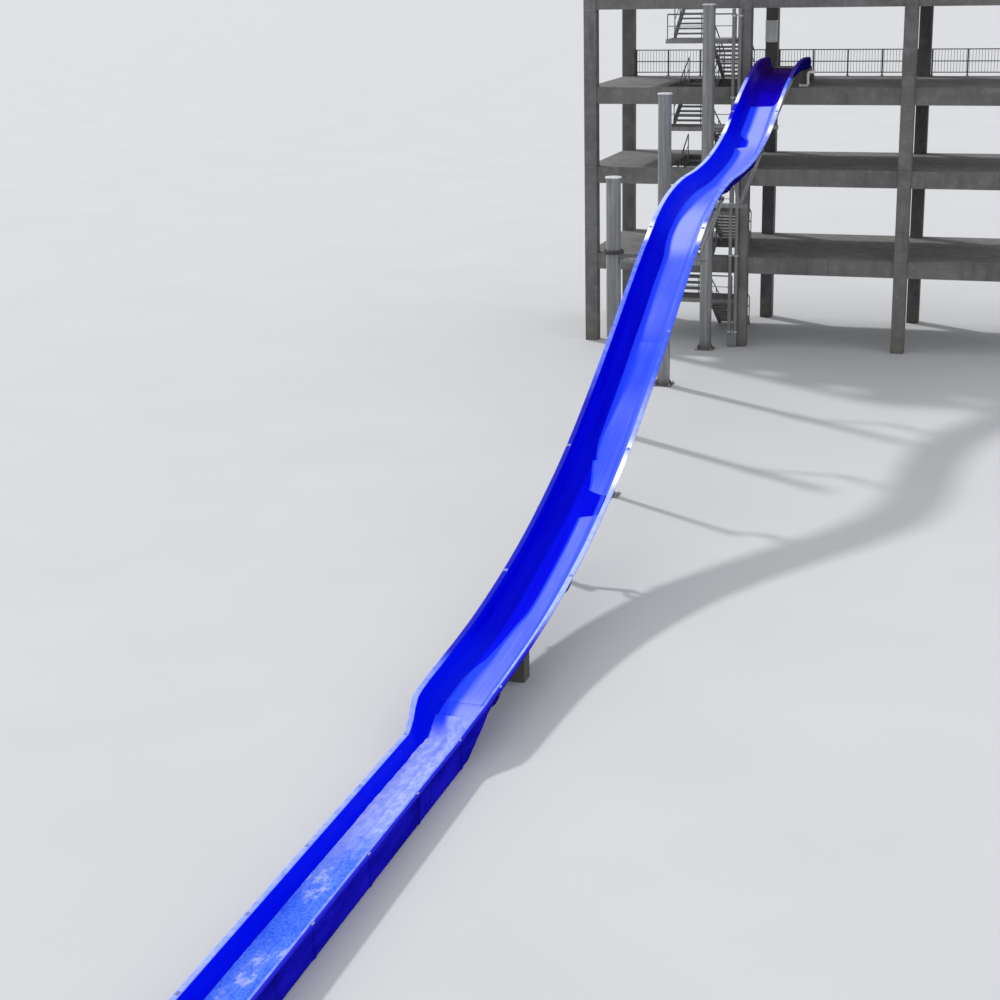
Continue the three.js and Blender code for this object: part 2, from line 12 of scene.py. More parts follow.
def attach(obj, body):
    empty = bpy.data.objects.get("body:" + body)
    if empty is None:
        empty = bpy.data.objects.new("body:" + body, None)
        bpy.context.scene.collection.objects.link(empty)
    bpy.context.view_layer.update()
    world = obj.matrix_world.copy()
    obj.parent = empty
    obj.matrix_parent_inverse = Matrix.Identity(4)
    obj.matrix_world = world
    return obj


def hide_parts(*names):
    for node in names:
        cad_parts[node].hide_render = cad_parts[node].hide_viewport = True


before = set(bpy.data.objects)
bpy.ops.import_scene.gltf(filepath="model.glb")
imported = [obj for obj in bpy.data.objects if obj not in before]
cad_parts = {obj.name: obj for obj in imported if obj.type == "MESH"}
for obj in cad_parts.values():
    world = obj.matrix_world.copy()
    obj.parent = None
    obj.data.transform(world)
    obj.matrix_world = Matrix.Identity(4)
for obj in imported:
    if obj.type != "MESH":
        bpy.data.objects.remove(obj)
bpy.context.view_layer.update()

SCALE = 0.5
CENTRE = (1.8, -23.065)
SEAT = 0.0006
HALF_GAP = SEAT / 2
UP, ACROSS = (0, 0, 1), (1, 0, 0)

# The flume's lip line seen from the side, its joints and its outline, as in the part's source.
LIP_LINE = [
    (2.4, 11.34), (0.7, 11.38), (-0.5, 11.29), (-1.7, 11.07), (-3.2, 10.67), (-4.7, 10.15),
    (-6.2, 9.55), (-7.7, 9.08), (-9.7, 8.7), (-11.7, 8.53), (-14.2, 8.47), (-16.2, 8.22),
    (-17.7, 7.8), (-19.2, 7.15), (-20.7, 6.45), (-23.7, 4.95), (-25.7, 4.0), (-27.7, 3.15),
    (-29.7, 2.47), (-31.7, 1.92), (-33.7, 1.52), (-35.7, 1.24), (-37.7, 1.09), (-38.7, 1.04),
]
FLUME_JOINTS = [2.4, -5.4, -9.5, -13.6, -18.3, -22.9, -27.6, -33.2, -38.7]
FLUME_NAMES = ["start_tub", "drop_1a", "drop_1b", "drop_2a", "drop_2b", "drop_2c", "glide_a", "glide_b"]
RING_STEP = 0.16
RUNOUT_START = -40.6
RUNOUT_BAY = 2.45
RUNOUT_JOINTS = [RUNOUT_START - RUNOUT_BAY * i for i in range(6)]
RUNOUT_LIP = 0.64
WATER_LEVEL = 0.145

# Half of the outline as (sideways, height below the lip): up the inside, then down the outside.
CHANNEL_IN = [
    (0, -0.45), (0.2, -0.45), (0.4, -0.45), (0.53, -0.42), (0.63, -0.34), (0.7, -0.2), (0.735, 0),
]
CHANNEL_OUT = [
    (0.775, -0.05), (0.742, -0.205), (0.665, -0.365), (0.55, -0.458), (0.41, -0.49), (0.2, -0.49), (0, -0.49),
]
RUNOUT_IN = [
    (0, -0.54), (0.2, -0.54), (0.41, -0.54), (0.48, -0.52), (0.508, -0.45), (0.512, -0.3), (0.515, 0),
]
RUNOUT_OUT = [
    (0.6, -0.055), (0.6, -0.3), (0.6, -0.5), (0.6, -0.615), (0.585, -0.64), (0.3, -0.64), (0, -0.64),
]
TUB_IN = [
    (0, -0.45), (0.24, -0.45), (0.47, -0.448), (0.64, -0.425), (0.71, -0.35), (0.73, -0.2), (0.735, 0),
]
TUB_OUT = [
    (0.82, -0.055), (0.81, -0.25), (0.785, -0.42), (0.73, -0.465), (0.65, -0.485), (0.3, -0.49), (0, -0.49),
]
TUB_SWELL = (-2.2, -0.3)

# How far a joint's flange pushes out each point of the outside, its thickness, and that with its root.
FLANGE_PUSH = [
    (0.055, -0.01), (0.05, -0.02), (0.042, -0.036), (0.03, -0.052), (0.013, -0.062), (0.007, -0.064),
    (0, -0.064),
]
FLANGE = {"thick": 0.03, "root": 0.034}
SEAM = {"points": 24, "half": 0.007, "height": 0.003, "edge": 0.001}
STRAP = {"half": 0.05, "thick": 0.012, "foot": 0.02, "below_lip": 0.06, "bolts": (0.1, 0.24, 0.38, 0.52)}
DEPTH = {"channel": 0.49, "runout": 0.64}
LIP_THICK = 0.045
LIP_OVERHANG = {"channel": 0.13, "runout": 0.11}
HORN = {"radius": 0.42, "turns": 14}

# The transition's rings: place, slope, lip height, share of the run-out's outline, depth.
TRANSITION = [
    (-39.15, 0.02, 1.01, 0.05, 0.6), (-39.45, 0.02, 0.97, 0.1, 0.75), (-39.8, 0, 0.87, 0.38, 0.79),
    (-40.1, 0, 0.765, 0.7, 0.765), (-40.45, 0, 0.67, 0.95, 0.67), (-40.5995, 0, 0.64, 1, 0.64),
]

# The flume's painted light and shade, as (distance from the top, value). The shadow edge, where the
# left wall's painted shadow ends, and the half-light band beside it are places and widths round the
# outline; the shades run from 0, darkest, to 1, palest, for the painted sunlit floor and the lips'
# painted light and shade; the lip glints place painted highlights.
SHADOW_EDGE = [
    (0, -0.35), (8.4, -0.35), (9.1, -0.285), (12, -0.34), (19, -0.345), (20.7, -0.225), (27.8, -0.225),
    (30, 0.02), (31.5, 0.06), (34.8, 0.06), (36.1, -0.04), (37.6, -0.17), (39.2, -0.35), (55, -0.35),
]
HALF_LIGHT_BAND = [
    (0, 0.22), (7.2, 0.22), (8, 0.05), (8.4, 0.05), (9, 0.17), (11.6, 0.21), (14, 0.3), (17, 0.23),
    (19, 0.12), (23.4, 0.12), (25.2, 0.19), (27, 0.12), (29, 0.04), (36.6, 0.05), (39.2, 0.22), (55, 0.22),
]
PALE_SHADE = [
    (0, 0.9), (7.5, 0.9), (9, 0.52), (13.1, 0.4), (15.2, 0.3), (17.2, 0.62), (18.4, 0.85), (19.4, 0.85),
    (20.7, 0.3), (23.5, 0.28), (25.1, 0.08), (27, 0.3), (29, 0.2), (31, 0.38), (37.6, 0.3), (38.8, 0.3),
    (40.2, 0.72), (42.5, 0.95), (55, 0.8),
]
LEFT_LIP_SHADE = [
    (0, 0.3), (4.5, 0.45), (6, 0.7), (8.5, 0.8), (17.8, 0.85), (20.6, 0.3), (25, 0.3), (38, 0.15),
    (41, 0.52), (55, 0.52),
]
RIGHT_LIP_SHADE = [
    (0, 0), (4, 0.1), (5, 0.25), (8, 0.36), (17.5, 0.34), (20.6, 0.12), (23, 0.04), (25.4, 0.1),
    (27, 0.5), (30.5, 0.75), (38, 0.65), (41, 0.4), (55, 0.4),
]
LEFT_LIP_GLINT = [
    (0, 0), (3.8, 0), (4.4, 0.2), (4.9, 0.2), (5.3, 0.35), (5.8, 0.7), (7.3, 0.3), (7.8, 1), (8.2, 0.8),
    (8.6, 0), (19.1, 0), (19.5, 1), (19.85, 1), (20.3, 0), (55, 0),
]
RIGHT_LIP_GLINT = [
    (0, 0), (4.3, 0), (5, 0.25), (5.5, 0.3), (6, 1), (6.5, 0.7), (7.4, 0.2), (7.8, 0.9), (8.2, 0.7),
    (8.6, 0.1), (9.1, 0), (19.1, 0), (19.5, 1), (19.9, 1), (20.4, 0), (28.6, 0), (29.3, 1), (29.9, 1),
    (30.7, 0), (55, 0),
]

# The tower: its columns, floors and stairwell.
COLUMN_X = [-7.6, -1.4, 4.9, 11.2]
COLUMN_Y = [0.25, 6.55]
COLUMN = 0.5
LEVELS = [3.65, 7.15, 10.3, 13.95]
BEAM_DEPTH = 0.65
WELL = {"x0": -4.65, "x1": -1.75, "y0": 0.5, "y1": 4.75}
LANDING = 1.3
RISERS = 10

# The steel: arm and drop are the heights of the arms below the flume's underside.
POLES = [
    {"name": "pole_lower", "x": -2.97, "y": -14.35, "top": 8.55, "arm": 2.13},
    {"name": "pole_middle", "x": -2.9, "y": -7.2, "top": 10.65, "arm": 2.0},
    {"name": "pole_upper", "x": -2.65, "y": -0.7, "top": 13.5, "arm": 1.9},
]
POLE = {
    "radius": 0.24, "cap": 0.27, "weld_at": 2.9, "ring": 0.34, "ring_at": 6.06, "ring_height": 0.1,
    "bolt_circle": 0.295,
}
GUSSET = {"half": 0.007, "reach": 0.34, "edge": 0.07, "top": 0.26}
POLE_BASE = {"half": 0.35, "thick": 0.04, "spread": 0.29, "stud": 0.013, "across": 0.045, "height": 0.028}
POST_BASE = {"half": 0.25, "thick": 0.03, "spread": 0.2, "stud": 0.011, "across": 0.036, "height": 0.022}
POSTS = [{"name": "post_upper", "y": -21.5, "drop": 1.0}, {"name": "post_lower", "y": -28.65, "drop": 0.8}]
POST_X = -1.25
POST_RADIUS = 0.13
ARM_RADIUS = 0.085
ARM = {"end": 0.1, "struts_from": -0.15, "strut": ARM_RADIUS * 0.8}
ARM_PLATE = {"thick": 0.03, "half": 0.11, "rise": 0.14}
CRADLE = {"half": 0.66, "width": 0.16, "height": 0.1, "thick": 0.014, "ribs": 3}

# Railings, launch platform, pipes, control box and handrails, as (height, radius) for the last.
RAIL = {"height": 1.1, "inset": 0.12, "spacing": 1.5, "corner": 0.15, "low_bar": 0.15, "under_top": 0.03}
RAIL_FOOT = {"half": 0.065, "thick": 0.012, "bolt": 0.048}
BALUSTER = {"spacing": 0.125, "radius": 0.009}
PLATFORM = {"half": 0.72, "back": 3.6, "steps": 3, "going": 0.3}
PIPE_RADIUS = 0.055
FEED = {"place": 0.36, "run": 0.32, "rise": 0.52, "reach": 0.62, "bend": 0.09}
RAIN_PIPE = {"radius": 0.07, "offsets": (-0.4, -0.16), "clamp_step": 3.1, "clamp": 0.06, "socket_step": 3.0}
CONTROL = {"half": 0.25, "deep": 0.2, "bottom": 1.4, "top": 2.3}
HANDRAILS = ((0.95, 0.026), (0.5, 0.014))

# The camera: where it stands, how far it looks down, its tilt, and its turn from the slide's line.
CAMERA = {
    "place": (11.7, -71.7, 15.64), "down": 16.9, "roll": 1.22, "turn": 18.12,
    "focal_px": 1810, "image_px": 1000,
}
SUN = {"from": (-0.9, 0.6, 1.0), "strength": 2.3, "width": 4}
SKY = {"colour": (0.86, 0.88, 0.92, 1), "strength": 1.1}


def at(x, y, z):
    """A real point in metres as a point of the half-size model."""
    return Vector(((x - CENTRE[0]) * SCALE, (y - CENTRE[1]) * SCALE, z * SCALE))


def lip_at(y):
    """Height and slope of the lip line: a smooth curve through LIP_LINE."""
    last = len(LIP_LINE) - 1
    k = 0
    while k < last - 1 and LIP_LINE[k + 1][0] > y:
        k += 1

    def grade(i):
        a, b = LIP_LINE[max(i - 1, 0)], LIP_LINE[min(i + 1, last)]
        return (b[1] - a[1]) / (b[0] - a[0])

    (y0, z0), (y1, z1) = LIP_LINE[k], LIP_LINE[k + 1]
    span = y1 - y0
    t = (y - y0) / span
    m0, m1 = grade(k) * span, grade(k + 1) * span
    keep = 2 * t**3 - 3 * t**2 + 1
    z = keep * z0 + (1 - keep) * z1 + (t**3 - 2 * t**2 + t) * m0 + (t**3 - t**2) * m1
    slope = ((6 * t**2 - 6 * t) * (z0 - z1) + (3 * t**2 - 4 * t + 1) * m0 + (3 * t**2 - 2 * t) * m1) / span
    return z, slope


class Value:
    """An output of a shader node that can be summed and multiplied, each time through a math node."""

    def __init__(self, shader, socket):
        self.shader, self.socket = shader, socket

    def __add__(self, other):
        return self.shader.math("ADD", self, other)

    def __sub__(self, other):
        return self.shader.math("SUBTRACT", self, other)

    def __rsub__(self, other):
        return self.shader.math("SUBTRACT", other, self)

    def __mul__(self, other):
        return self.shader.math("MULTIPLY", self, other)

    def __truediv__(self, other):
        return self.shader.math("DIVIDE", self, other)

    def __abs__(self):
        return self.shader.math("ABSOLUTE", self)


class Shader:
    """A principled material, and short ways to feed it from procedural nodes."""

    def __init__(self, name, **values):
        self.material = bpy.data.materials.new(name)
        self.material.use_nodes = True
        self.tree = self.material.node_tree
        self.surface = self.tree.nodes["Principled BSDF"]
        place = self.tree.nodes.new("ShaderNodeTexCoord")
        self.place = {source: Value(self, place.outputs[source]) for source in ("Object", "UV")}
        for socket, value in values.items():
            self.surface.inputs[socket.replace("_", " ")].default_value = value

    def feed(self, node, socket, value):
        target = node.inputs[socket]
        if isinstance(value, Value):
            self.tree.links.new(value.socket, target)
        else:
            target.default_value = (*value, 1) if target.type == "RGBA" else value

    def node(self, kind, inputs, output=0, **settings):
        """Adds a node, feeds its inputs and returns one of its outputs."""
        made = self.tree.nodes.new("ShaderNode" + kind)
        for key, value in settings.items():
            setattr(made, key, value)
        for socket, value in inputs.items():
            self.feed(made, socket, value)
        return Value(self, made.outputs[output])

    def math(self, operation, *values):
        return self.node("Math", dict(enumerate(values)), operation=operation)

    def mix(self, share, first, second, blend="MIX"):
        return self.node("Mix", {0: share, 6: first, 7: second}, 2, data_type="RGBA", blend_type=blend)

    def fade(self, value, low, high, start=0.0, end=1.0):
        """start where value is under low, end where it is over high, smooth between them."""
        inputs = {"Value": value, "From Min": low, "From Max": high, "To Min": start, "To Max": end}
        return self.node("MapRange", inputs, interpolation_type="SMOOTHSTEP")

    def curve(self, value, points):
        """A smooth line through (value, result) points; the results lie between -1 and 1."""
        reach = points[-1][0]
        made = self.node("FloatCurve", {"Value": value / reach})
        mapping = made.socket.node.mapping
        line = mapping.curves[0].points
        for place, result in points[1:-1]:
            line.new(place / reach, (result + 1) / 2)
        line[0].location = (0, (points[0][1] + 1) / 2)
        line[len(line) - 1].location = (1, (points[-1][1] + 1) / 2)
        for point in line:
            point.handle_type = "AUTO_CLAMPED"
        mapping.update()
        return self.math("MULTIPLY_ADD", made, 2.0, -1.0)

    def stretched(self, scale=(1, 1, 1), source="Object"):
        return self.node("Mapping", {"Vector": self.place[source], "Scale": scale})

    def noise(self, scale, stretch=(1, 1, 1), detail=4.0, source="Object", rough=0.55):
        place = self.stretched(stretch, source)
        inputs = {"Vector": place, "Scale": scale, "Detail": detail, "Roughness": rough}
        return self.node("TexNoise", inputs)

    def cells(self, scale):
        return self.node("TexVoronoi", {"Vector": self.stretched(), "Scale": scale})

    def axis(self, which, source="Object"):
        return self.node("SeparateXYZ", {0: self.place[source]}, which)

    def facing_up(self):
        """1 where the surface faces up, 0 where it is upright, -1 where it faces down."""
        return self.node("SeparateXYZ", {0: self.node("NewGeometry", {}, "Normal")}, 2)

    def colour(self, value):
        self.feed(self.surface, "Base Color", value)

    def roughness(self, value):
        self.feed(self.surface, "Roughness", value)

    def bump(self, height, strength, distance, under=None):
        inputs = {"Height": height, "Strength": strength, "Distance": distance}
        if under is not None:
            inputs["Normal"] = under
        made = self.node("Bump", inputs)
        self.feed(self.surface, "Normal", made)
        return made


def toned(tint, share):
    """A colour made darker or lighter."""
    return tuple(share * c for c in tint)


def gelcoat():
    """Moulded blue fibreglass with painted light and shade: a painted shadow of the left wall in deep blue
    down the left, painted sunlight on the rider-worn floor in pale blue on the right, painted highlights
    on the lips, a painted shadow of the tower's deck over the tub, and a dull outside, painted dark as
    shade up the slope and lighter as sunlight at the run-out.

    UV x is the place round the outline: 0 in the middle of the floor, 1 at the right lip's inner edge,
    -1 at the left one's, and further from 0 than 1.15 outside. UV y is the distance from the slide's
    top, in metres.
    """
    s = Shader("blue_gelcoat", IOR=1.18, Specular_IOR_Level=0.04)
    side = s.axis(0, "UV")
    across = abs(side)
    along = s.axis(1, "UV")
    streaks = s.noise(1.0, (6, 0.3, 1), 4, "UV")
    patches = s.noise(1.0, (1.2, 0.2, 1), 3, "UV")
    fine = s.noise(1.0, (34, 0.5, 1), 3, "UV")
    mottle = s.noise(9.0, detail=6)

    def near(place, inner, outer):
        return s.fade(abs(along - place), inner, outer, 1, 0)

    # The edge of the left wall's painted shadow wanders down the slide. It bulges by the first joint,
    # and a painted cast shadow runs right across near the bottom.
    wander = patches * 0.08 + streaks * 0.03 - 0.055
    shadow_bulge = s.fade(along, 7.3, 8.1, 0, 0.33) + s.fade(along, 8.45, 8.6, 0, -0.33)
    crossing_shadow = s.fade(along, 29.95, 30.5, 0, 0.95) + s.fade(along, 30.85, 31.25, 0, -0.95)
    place = side - (s.curve(along, SHADOW_EDGE) + wander + shadow_bulge + crossing_shadow)
    # Deep blue: the painted shadow of the left wall, brighter in two stretches. Mid blue beside its edge:
    # painted half light.
    wall = s.mix(s.fade(streaks, 0.3, 0.7), (0.0, 0.0, 0.55), (0.0, 0.003, 0.65))
    lively = s.math("MAXIMUM", near(13.5, 5.0, 6.5), s.fade(along, 36.0, 38.0, 0, 0.8))
    wall = s.mix(lively, wall, (0.0, 0.008, 0.7))
    shadow_and_half_light = s.mix(s.fade(place, -0.012, 0.012), wall, (0.018, 0.055, 0.97))
    # Pale: painted sunlight on the floor that riders wear, its shade along the slide from the table.
    shade = s.curve(along, PALE_SHADE) + (patches - 0.5) * 0.5 + s.fade(fine, 0.5, 0.7, 0, 0.12)
    pale = s.mix(s.fade(shade, 0.0, 1.0), (0.032, 0.08, 0.98), (0.29, 0.34, 1.0))
    floor = s.mix(s.fade(place / s.curve(along, HALF_LIGHT_BAND), 0.85, 1.7), shadow_and_half_light, pale)
    stripe = s.fade(abs(side + wander - 0.44), 0.02, 0.09, 0.85, 0) * s.fade(patches, 0.3, 0.6, 0.4, 1)
    striped = s.mix(stripe, floor, (0.035, 0.09, 1.0))
    left = s.fade(side, -0.1, 0.1, 1, 0)
    right = 1.0 - left

    def by_lip(left_table, right_table):
        on_left = left * s.curve(along, left_table)
        return s.math("MULTIPLY_ADD", right, s.curve(along, right_table), on_left)

    # The lips' painted light and shade along the slide, from the two lip tables.
    lip_shade = by_lip(LEFT_LIP_SHADE, RIGHT_LIP_SHADE) + s.fade(mottle, 0.4, 0.7, 0.06, -0.12)
    lip = s.mix(s.fade(lip_shade, 0.0, 1.0), (0.055, 0.11, 0.9), (0.42, 0.5, 0.98))
    # Darker on the right lip's outer half near the bottom, and on the left lip from 24.5 m to 39 m down.
    outer_half = s.fade(along, 35.0, 38.0) * s.fade(side, 1.035, 1.06)
    lip = s.mix(outer_half, lip, (0.014, 0.016, 0.52))
    dull = s.fade(along, 24.5, 27.5) * s.fade(along, 38.3, 39.2, 1, 0)
    lip = s.mix(dull * left * 0.92, lip, (0.01, 0.01, 0.4))
    # The left lip stays dark blue by the first joint, a break in its painted highlight.
    gap = left * near(6.6, 0.4, 0.75)
    lip = s.mix(gap, lip, (0.02, 0.01, 0.55))
    on_lip = s.fade(across, 0.975, 0.995)
    edged = s.mix(on_lip, striped, lip)

    # Painted highlights in white where the lips bend: under the tub, and at the second drop's joints.
    broken = s.fade(s.noise(1.4, detail=2), 0.3, 0.5, 0.75, 1.0)
    lip_glint = by_lip(LEFT_LIP_GLINT, RIGHT_LIP_GLINT) * (1.0 - gap) * broken * s.fade(across, 0.93, 0.98)
    glinted = s.mix(lip_glint, edged, (1.0, 1.0, 1.0))

    # Painted shadow of the tower's deck over the tub: dark violet, darkest at the top and up the left wall,
    # with a sharp edge across the floor and a softer one up the left wall.
    kept = along + s.fade(across, 0.35, 1.0, 0, 1.7) + patches * 0.3
    deck_shadow = s.mix(s.fade(side, -0.75, -0.3, 1, 0), (0.016, 0.003, 0.07), (0.03, 0.001, 0.24))
    deck_shadow = s.mix(s.fade(along, 0.6, 4.9), deck_shadow, (0.006, 0.0, 0.4))
    deck_shadow = s.mix(on_lip, deck_shadow, (0.045, 0.022, 0.26))
    on_wall = s.fade(side, -0.55, -0.35, 1, 0) * s.fade(side, -0.985, -0.965)
    sharp, soft = s.fade(kept, 5.5, 5.62, 1, 0), s.fade(kept, 4.6, 7.6, 1, 0)
    tub = s.mix(s.math("MULTIPLY_ADD", soft - sharp, on_wall, sharp), glinted, deck_shadow)
    clouds = s.fade(s.noise(1.5, (1, 1, 4), 5), 0.3, 0.7)
    shadowed = s.mix(clouds, (0.002, 0.001, 0.12), (0.005, 0.003, 0.24))
    sunny = s.mix(clouds, (0.004, 0.003, 0.34), (0.011, 0.008, 0.56))
    outside = s.mix(s.fade(along, 36.0, 41.0), shadowed, sunny)
    grime = s.mix(s.fade(s.noise(4, (1, 1, 0.4), 6), 0.5, 0.72, 0, 0.4), outside, (0.003, 0.002, 0.07))
    back = s.fade(across, 1.125, 1.15)
    s.colour(s.mix(back, tub, grime))
    dusty = s.math("MAXIMUM", back * 0.55, s.fade(along, 1.0, 3.0, 0.4, 0))
    s.roughness(s.fade(streaks, 0.3, 0.7, 0.3, 0.42) + s.fade(mottle, 0.45, 0.7, 0, 0.1) + dusty)
    s.bump(fine, 0.06, 0.001, s.bump(s.noise(2.2, detail=2), 0.1, 0.02))
    return s.material


def concrete(name, tint, panel=(0.3, 0.6)):
    """Cast concrete with form joints, tie holes, pour lines, dark runs and a dirty foot."""
    s = Shader(name, IOR=1.45)
    x, y, z = (s.axis(i) for i in range(3))
    along = x + y
    blotch = s.noise(1.1, detail=5)
    cloudy = s.noise(5.0, detail=6)
    runs = s.noise(3.0, (3, 3, 0.35), 5)
    base = s.mix(s.fade(blotch, 0.3, 0.7), toned(tint, 0.72), tint)
    base = s.mix(s.fade(cloudy, 0.45, 0.75, 0, 0.5), base, toned(tint, 1.3))
    base = s.mix(s.fade(runs, 0.52, 0.78, 0, 0.6), base, toned(tint, 0.42))

    def joint(value, pitch, width):
        return s.fade(s.math("PINGPONG", value, pitch / 2), width * 0.4, width, 1, 0)

    joints = s.math("MAXIMUM", joint(z, panel[1], 0.004), joint(along, panel[0], 0.003) * 0.7)
    hole_u = s.math("PINGPONG", along, panel[0] / 2) - panel[0] / 4
    hole_v = s.math("PINGPONG", z, panel[1] / 4) - panel[1] / 8
    reach = s.math("SQRT", hole_u * hole_u + hole_v * hole_v)
    upright = s.fade(abs(s.facing_up()), 0.5, 0.6, 1, 0)
    marks = s.math("MAXIMUM", joints * upright, s.fade(reach, 0.006, 0.009, 1, 0) * upright)
    base = s.mix(marks * 0.6, base, toned(tint, 0.3))
    foot = s.fade(z + cloudy * 0.3, 0.2, 0.62, 1, 0) * 0.6
    base = s.mix(foot, base, (0.1, 0.095, 0.075))
    s.colour(s.mix(s.fade(s.facing_up(), -0.9, -0.3, 1, 0) * 0.35, base, (0.14, 0.14, 0.13)))
    s.roughness(s.fade(cloudy, 0.3, 0.8, 0.98, 0.78))
    rough = s.bump(s.noise(70.0), 0.35, 0.002)
    pitted = s.bump(s.fade(s.cells(55.0), 0.05, 0.3), 0.25, 0.0015, rough)
    s.bump(1.0 - marks, 0.7, 0.003, pitted)
    return s.material


def painted_steel(name, tint, rust=0.5, metal=0.25):
    """Grey paint on steel: faded bands, rain runs, rust blooms where the paint is thin."""
    s = Shader(name, Metallic=metal, IOR=1.5, Coat_Weight=0.1)
    faded = s.noise(1.3, (1, 1, 0.5))
    runs = s.noise(6.0, (4, 4, 0.3), 5)
    rough = s.noise(26.0, detail=5)
    streaks = s.noise(7.0, (3, 3, 0.12))
    base = s.mix(s.fade(faded, 0.3, 0.7), toned(tint, 0.8), toned(tint, 1.2))
    base = s.mix(s.fade(streaks, 0.35, 0.65, 0.5, 0), base, toned(tint, 0.55))
    base = s.mix(s.fade(streaks, 0.5, 0.75, 0, 0.5), base, toned(tint, 1.5))
    base = s.mix(s.fade(runs, 0.5, 0.8, 0, 0.5), base, toned(tint, 0.5))
    bloom = s.fade(rough, 0.6, 0.72) * s.fade(faded, 0.45, 0.65, 0, rust)
    base = s.mix(bloom, base, (0.16, 0.075, 0.035))
    dirt = s.fade(s.axis(2) + rough * 0.12, 0.08, 0.3, 0.55, 0)
    s.colour(s.mix(dirt, base, (0.09, 0.07, 0.05)))
    s.roughness(s.fade(runs, 0.3, 0.8, 0.38, 0.62) + bloom * 0.25)
    s.bump(s.fade(s.cells(40.0), 0.0, 0.25), 0.12, 0.001, s.bump(rough, 0.12, 0.001))
    return s.material


def galvanised():
    s = Shader("galvanised", Metallic=0.9, IOR=1.5)
    tarnish = s.noise(20.0)
    base = s.mix(s.cells(140.0), (0.42, 0.44, 0.46), (0.62, 0.64, 0.66))
    s.colour(s.mix(s.fade(tarnish, 0.55, 0.75, 0, 0.6), base, (0.2, 0.16, 0.12)))
    s.roughness(s.fade(tarnish, 0.3, 0.7, 0.32, 0.6))
    s.bump(tarnish, 0.15, 0.0008)
    return s.material


def plastic(name, tint):
    """Weathered pale plastic with rain marks and dust on what faces up."""
    s = Shader(name, IOR=1.46, Coat_Weight=0.05)
    runs = s.noise(7.0, (4, 4, 0.4), 5)
    cloudy = s.noise(3.0, detail=5)
    base = s.mix(s.fade(cloudy, 0.3, 0.7), toned(tint, 0.86), tint)
    base = s.mix(s.fade(runs, 0.52, 0.8, 0, 0.55), base, toned(tint, 0.5))
    s.colour(s.mix(s.fade(s.facing_up(), 0.5, 0.9, 0, 0.25), base, toned(tint, 0.75)))
    s.roughness(s.fade(cloudy, 0.3, 0.7, 0.38, 0.58))
    s.bump(s.noise(45.0), 0.1, 0.0008)
    return s.material


def water():
    """Shallow moving water over a blue floor, foamy where the flume runs into it.

    UV x is sideways from the middle and UV y the distance from the flume's mouth, both in metres.
    """
    s = Shader("runout_water", IOR=1.2, Specular_IOR_Level=0.1)
    swirl = s.noise(2.6, (1, 0.5, 1), 5, rough=0.6)
    ripple = s.noise(46.0, (1, 0.7, 1), 4, rough=0.7)
    crest = s.noise(13.0, (1, 0.5, 1), 5, rough=0.65)
    along = s.axis(1, "UV")
    aside = s.axis(0, "UV")
    base = s.mix(s.fade(swirl, 0.36, 0.66), (0.048, 0.15, 1.0), (0.09, 0.205, 1.0))
    base = s.mix(s.fade(ripple, 0.5, 0.62, 0, 0.55), base, (0.006, 0.05, 0.86))
    base = s.mix(s.fade(ripple, 0.5, 0.38, 0, 0.35), base, (0.14, 0.26, 1.0))
    mouth = s.fade(along + (crest - 0.5) * 5.0 + aside * 1.5, 4.0, 6.3, 0.85, 0)
    base = s.mix(mouth, base, s.mix(s.fade(crest, 0.4, 0.6), (0.27, 0.34, 1.0), (0.42, 0.47, 1.0)))
    froth = s.fade(swirl, 0.52, 0.62) * s.fade(crest, 0.46, 0.62) * s.fade(along, 1.5, 11.0, 0.75, 0.55)
    base = s.mix(froth * s.fade(along, 0.3, 1.2), base, (0.5, 0.56, 1.0))

    # Painted light beside the left wall, lifting the wall's shadow on the water, and still the floor's blue
    # where the film is thinnest.
    base = s.mix(s.fade(aside, -0.2, 0.0, 1, 0), base, (1.65, 1.6, 1.0), "MULTIPLY")
    thin = s.fade(along, 0.05, 0.8, 1, 0) * s.fade(aside, -0.28, 0.0, 1, 0)
    s.colour(s.mix(thin, base, (0.02, 0.07, 1.0)))
    s.roughness(s.fade(froth, 0.0, 0.6, 0.22, 0.5))
    s.bump(ripple, 0.35, 0.002, s.bump(swirl, 0.3, 0.012))
    return s.material


def plain_floor():
    s = Shader("studio_floor", IOR=1.3, Roughness=0.9)
    s.colour(s.mix(s.noise(0.4, detail=2), (0.46, 0.46, 0.465), (0.5, 0.5, 0.5)))
    return s.material


MATERIAL = {
    "flume": gelcoat(),
    # The tower's concrete is darker than bare concrete, partly its own grey and partly a painted shade.
    "concrete": concrete("cast_concrete", (0.158, 0.156, 0.15)),
    # Concrete painted dark as a painted shade, for the launch platform and the pedestal.
    "concrete_in_shade": concrete("concrete_painted_shade", (0.07, 0.07, 0.066), (0.6, 5.0)),
    "stair": concrete("stair_concrete", (0.25, 0.247, 0.238), (0.6, 5.0)),
    "steel": painted_steel("grey_steel", (0.235, 0.238, 0.24)),
    "rail": painted_steel("dark_rail", (0.13, 0.133, 0.137), 0.8),
    "flange": painted_steel("rusty_flange", (0.05, 0.047, 0.044), 0.9),
    # The poles' caps: steel painted pale as painted sunlight.
    "cap": painted_steel("cap_painted_sunlit", (0.6, 0.6, 0.59), 0.2),
    "pipe": plastic("pale_plastic", (0.62, 0.62, 0.59)),
    "case": plastic("white_case", (0.9, 0.9, 0.88)),
    "downpipe": plastic("grey_plastic", (0.2, 0.2, 0.195)),
    "plate": painted_steel("blue_plate", (0.2, 0.26, 0.66), 0, 0),
    "bolt": galvanised(),
    "water": water(),
}


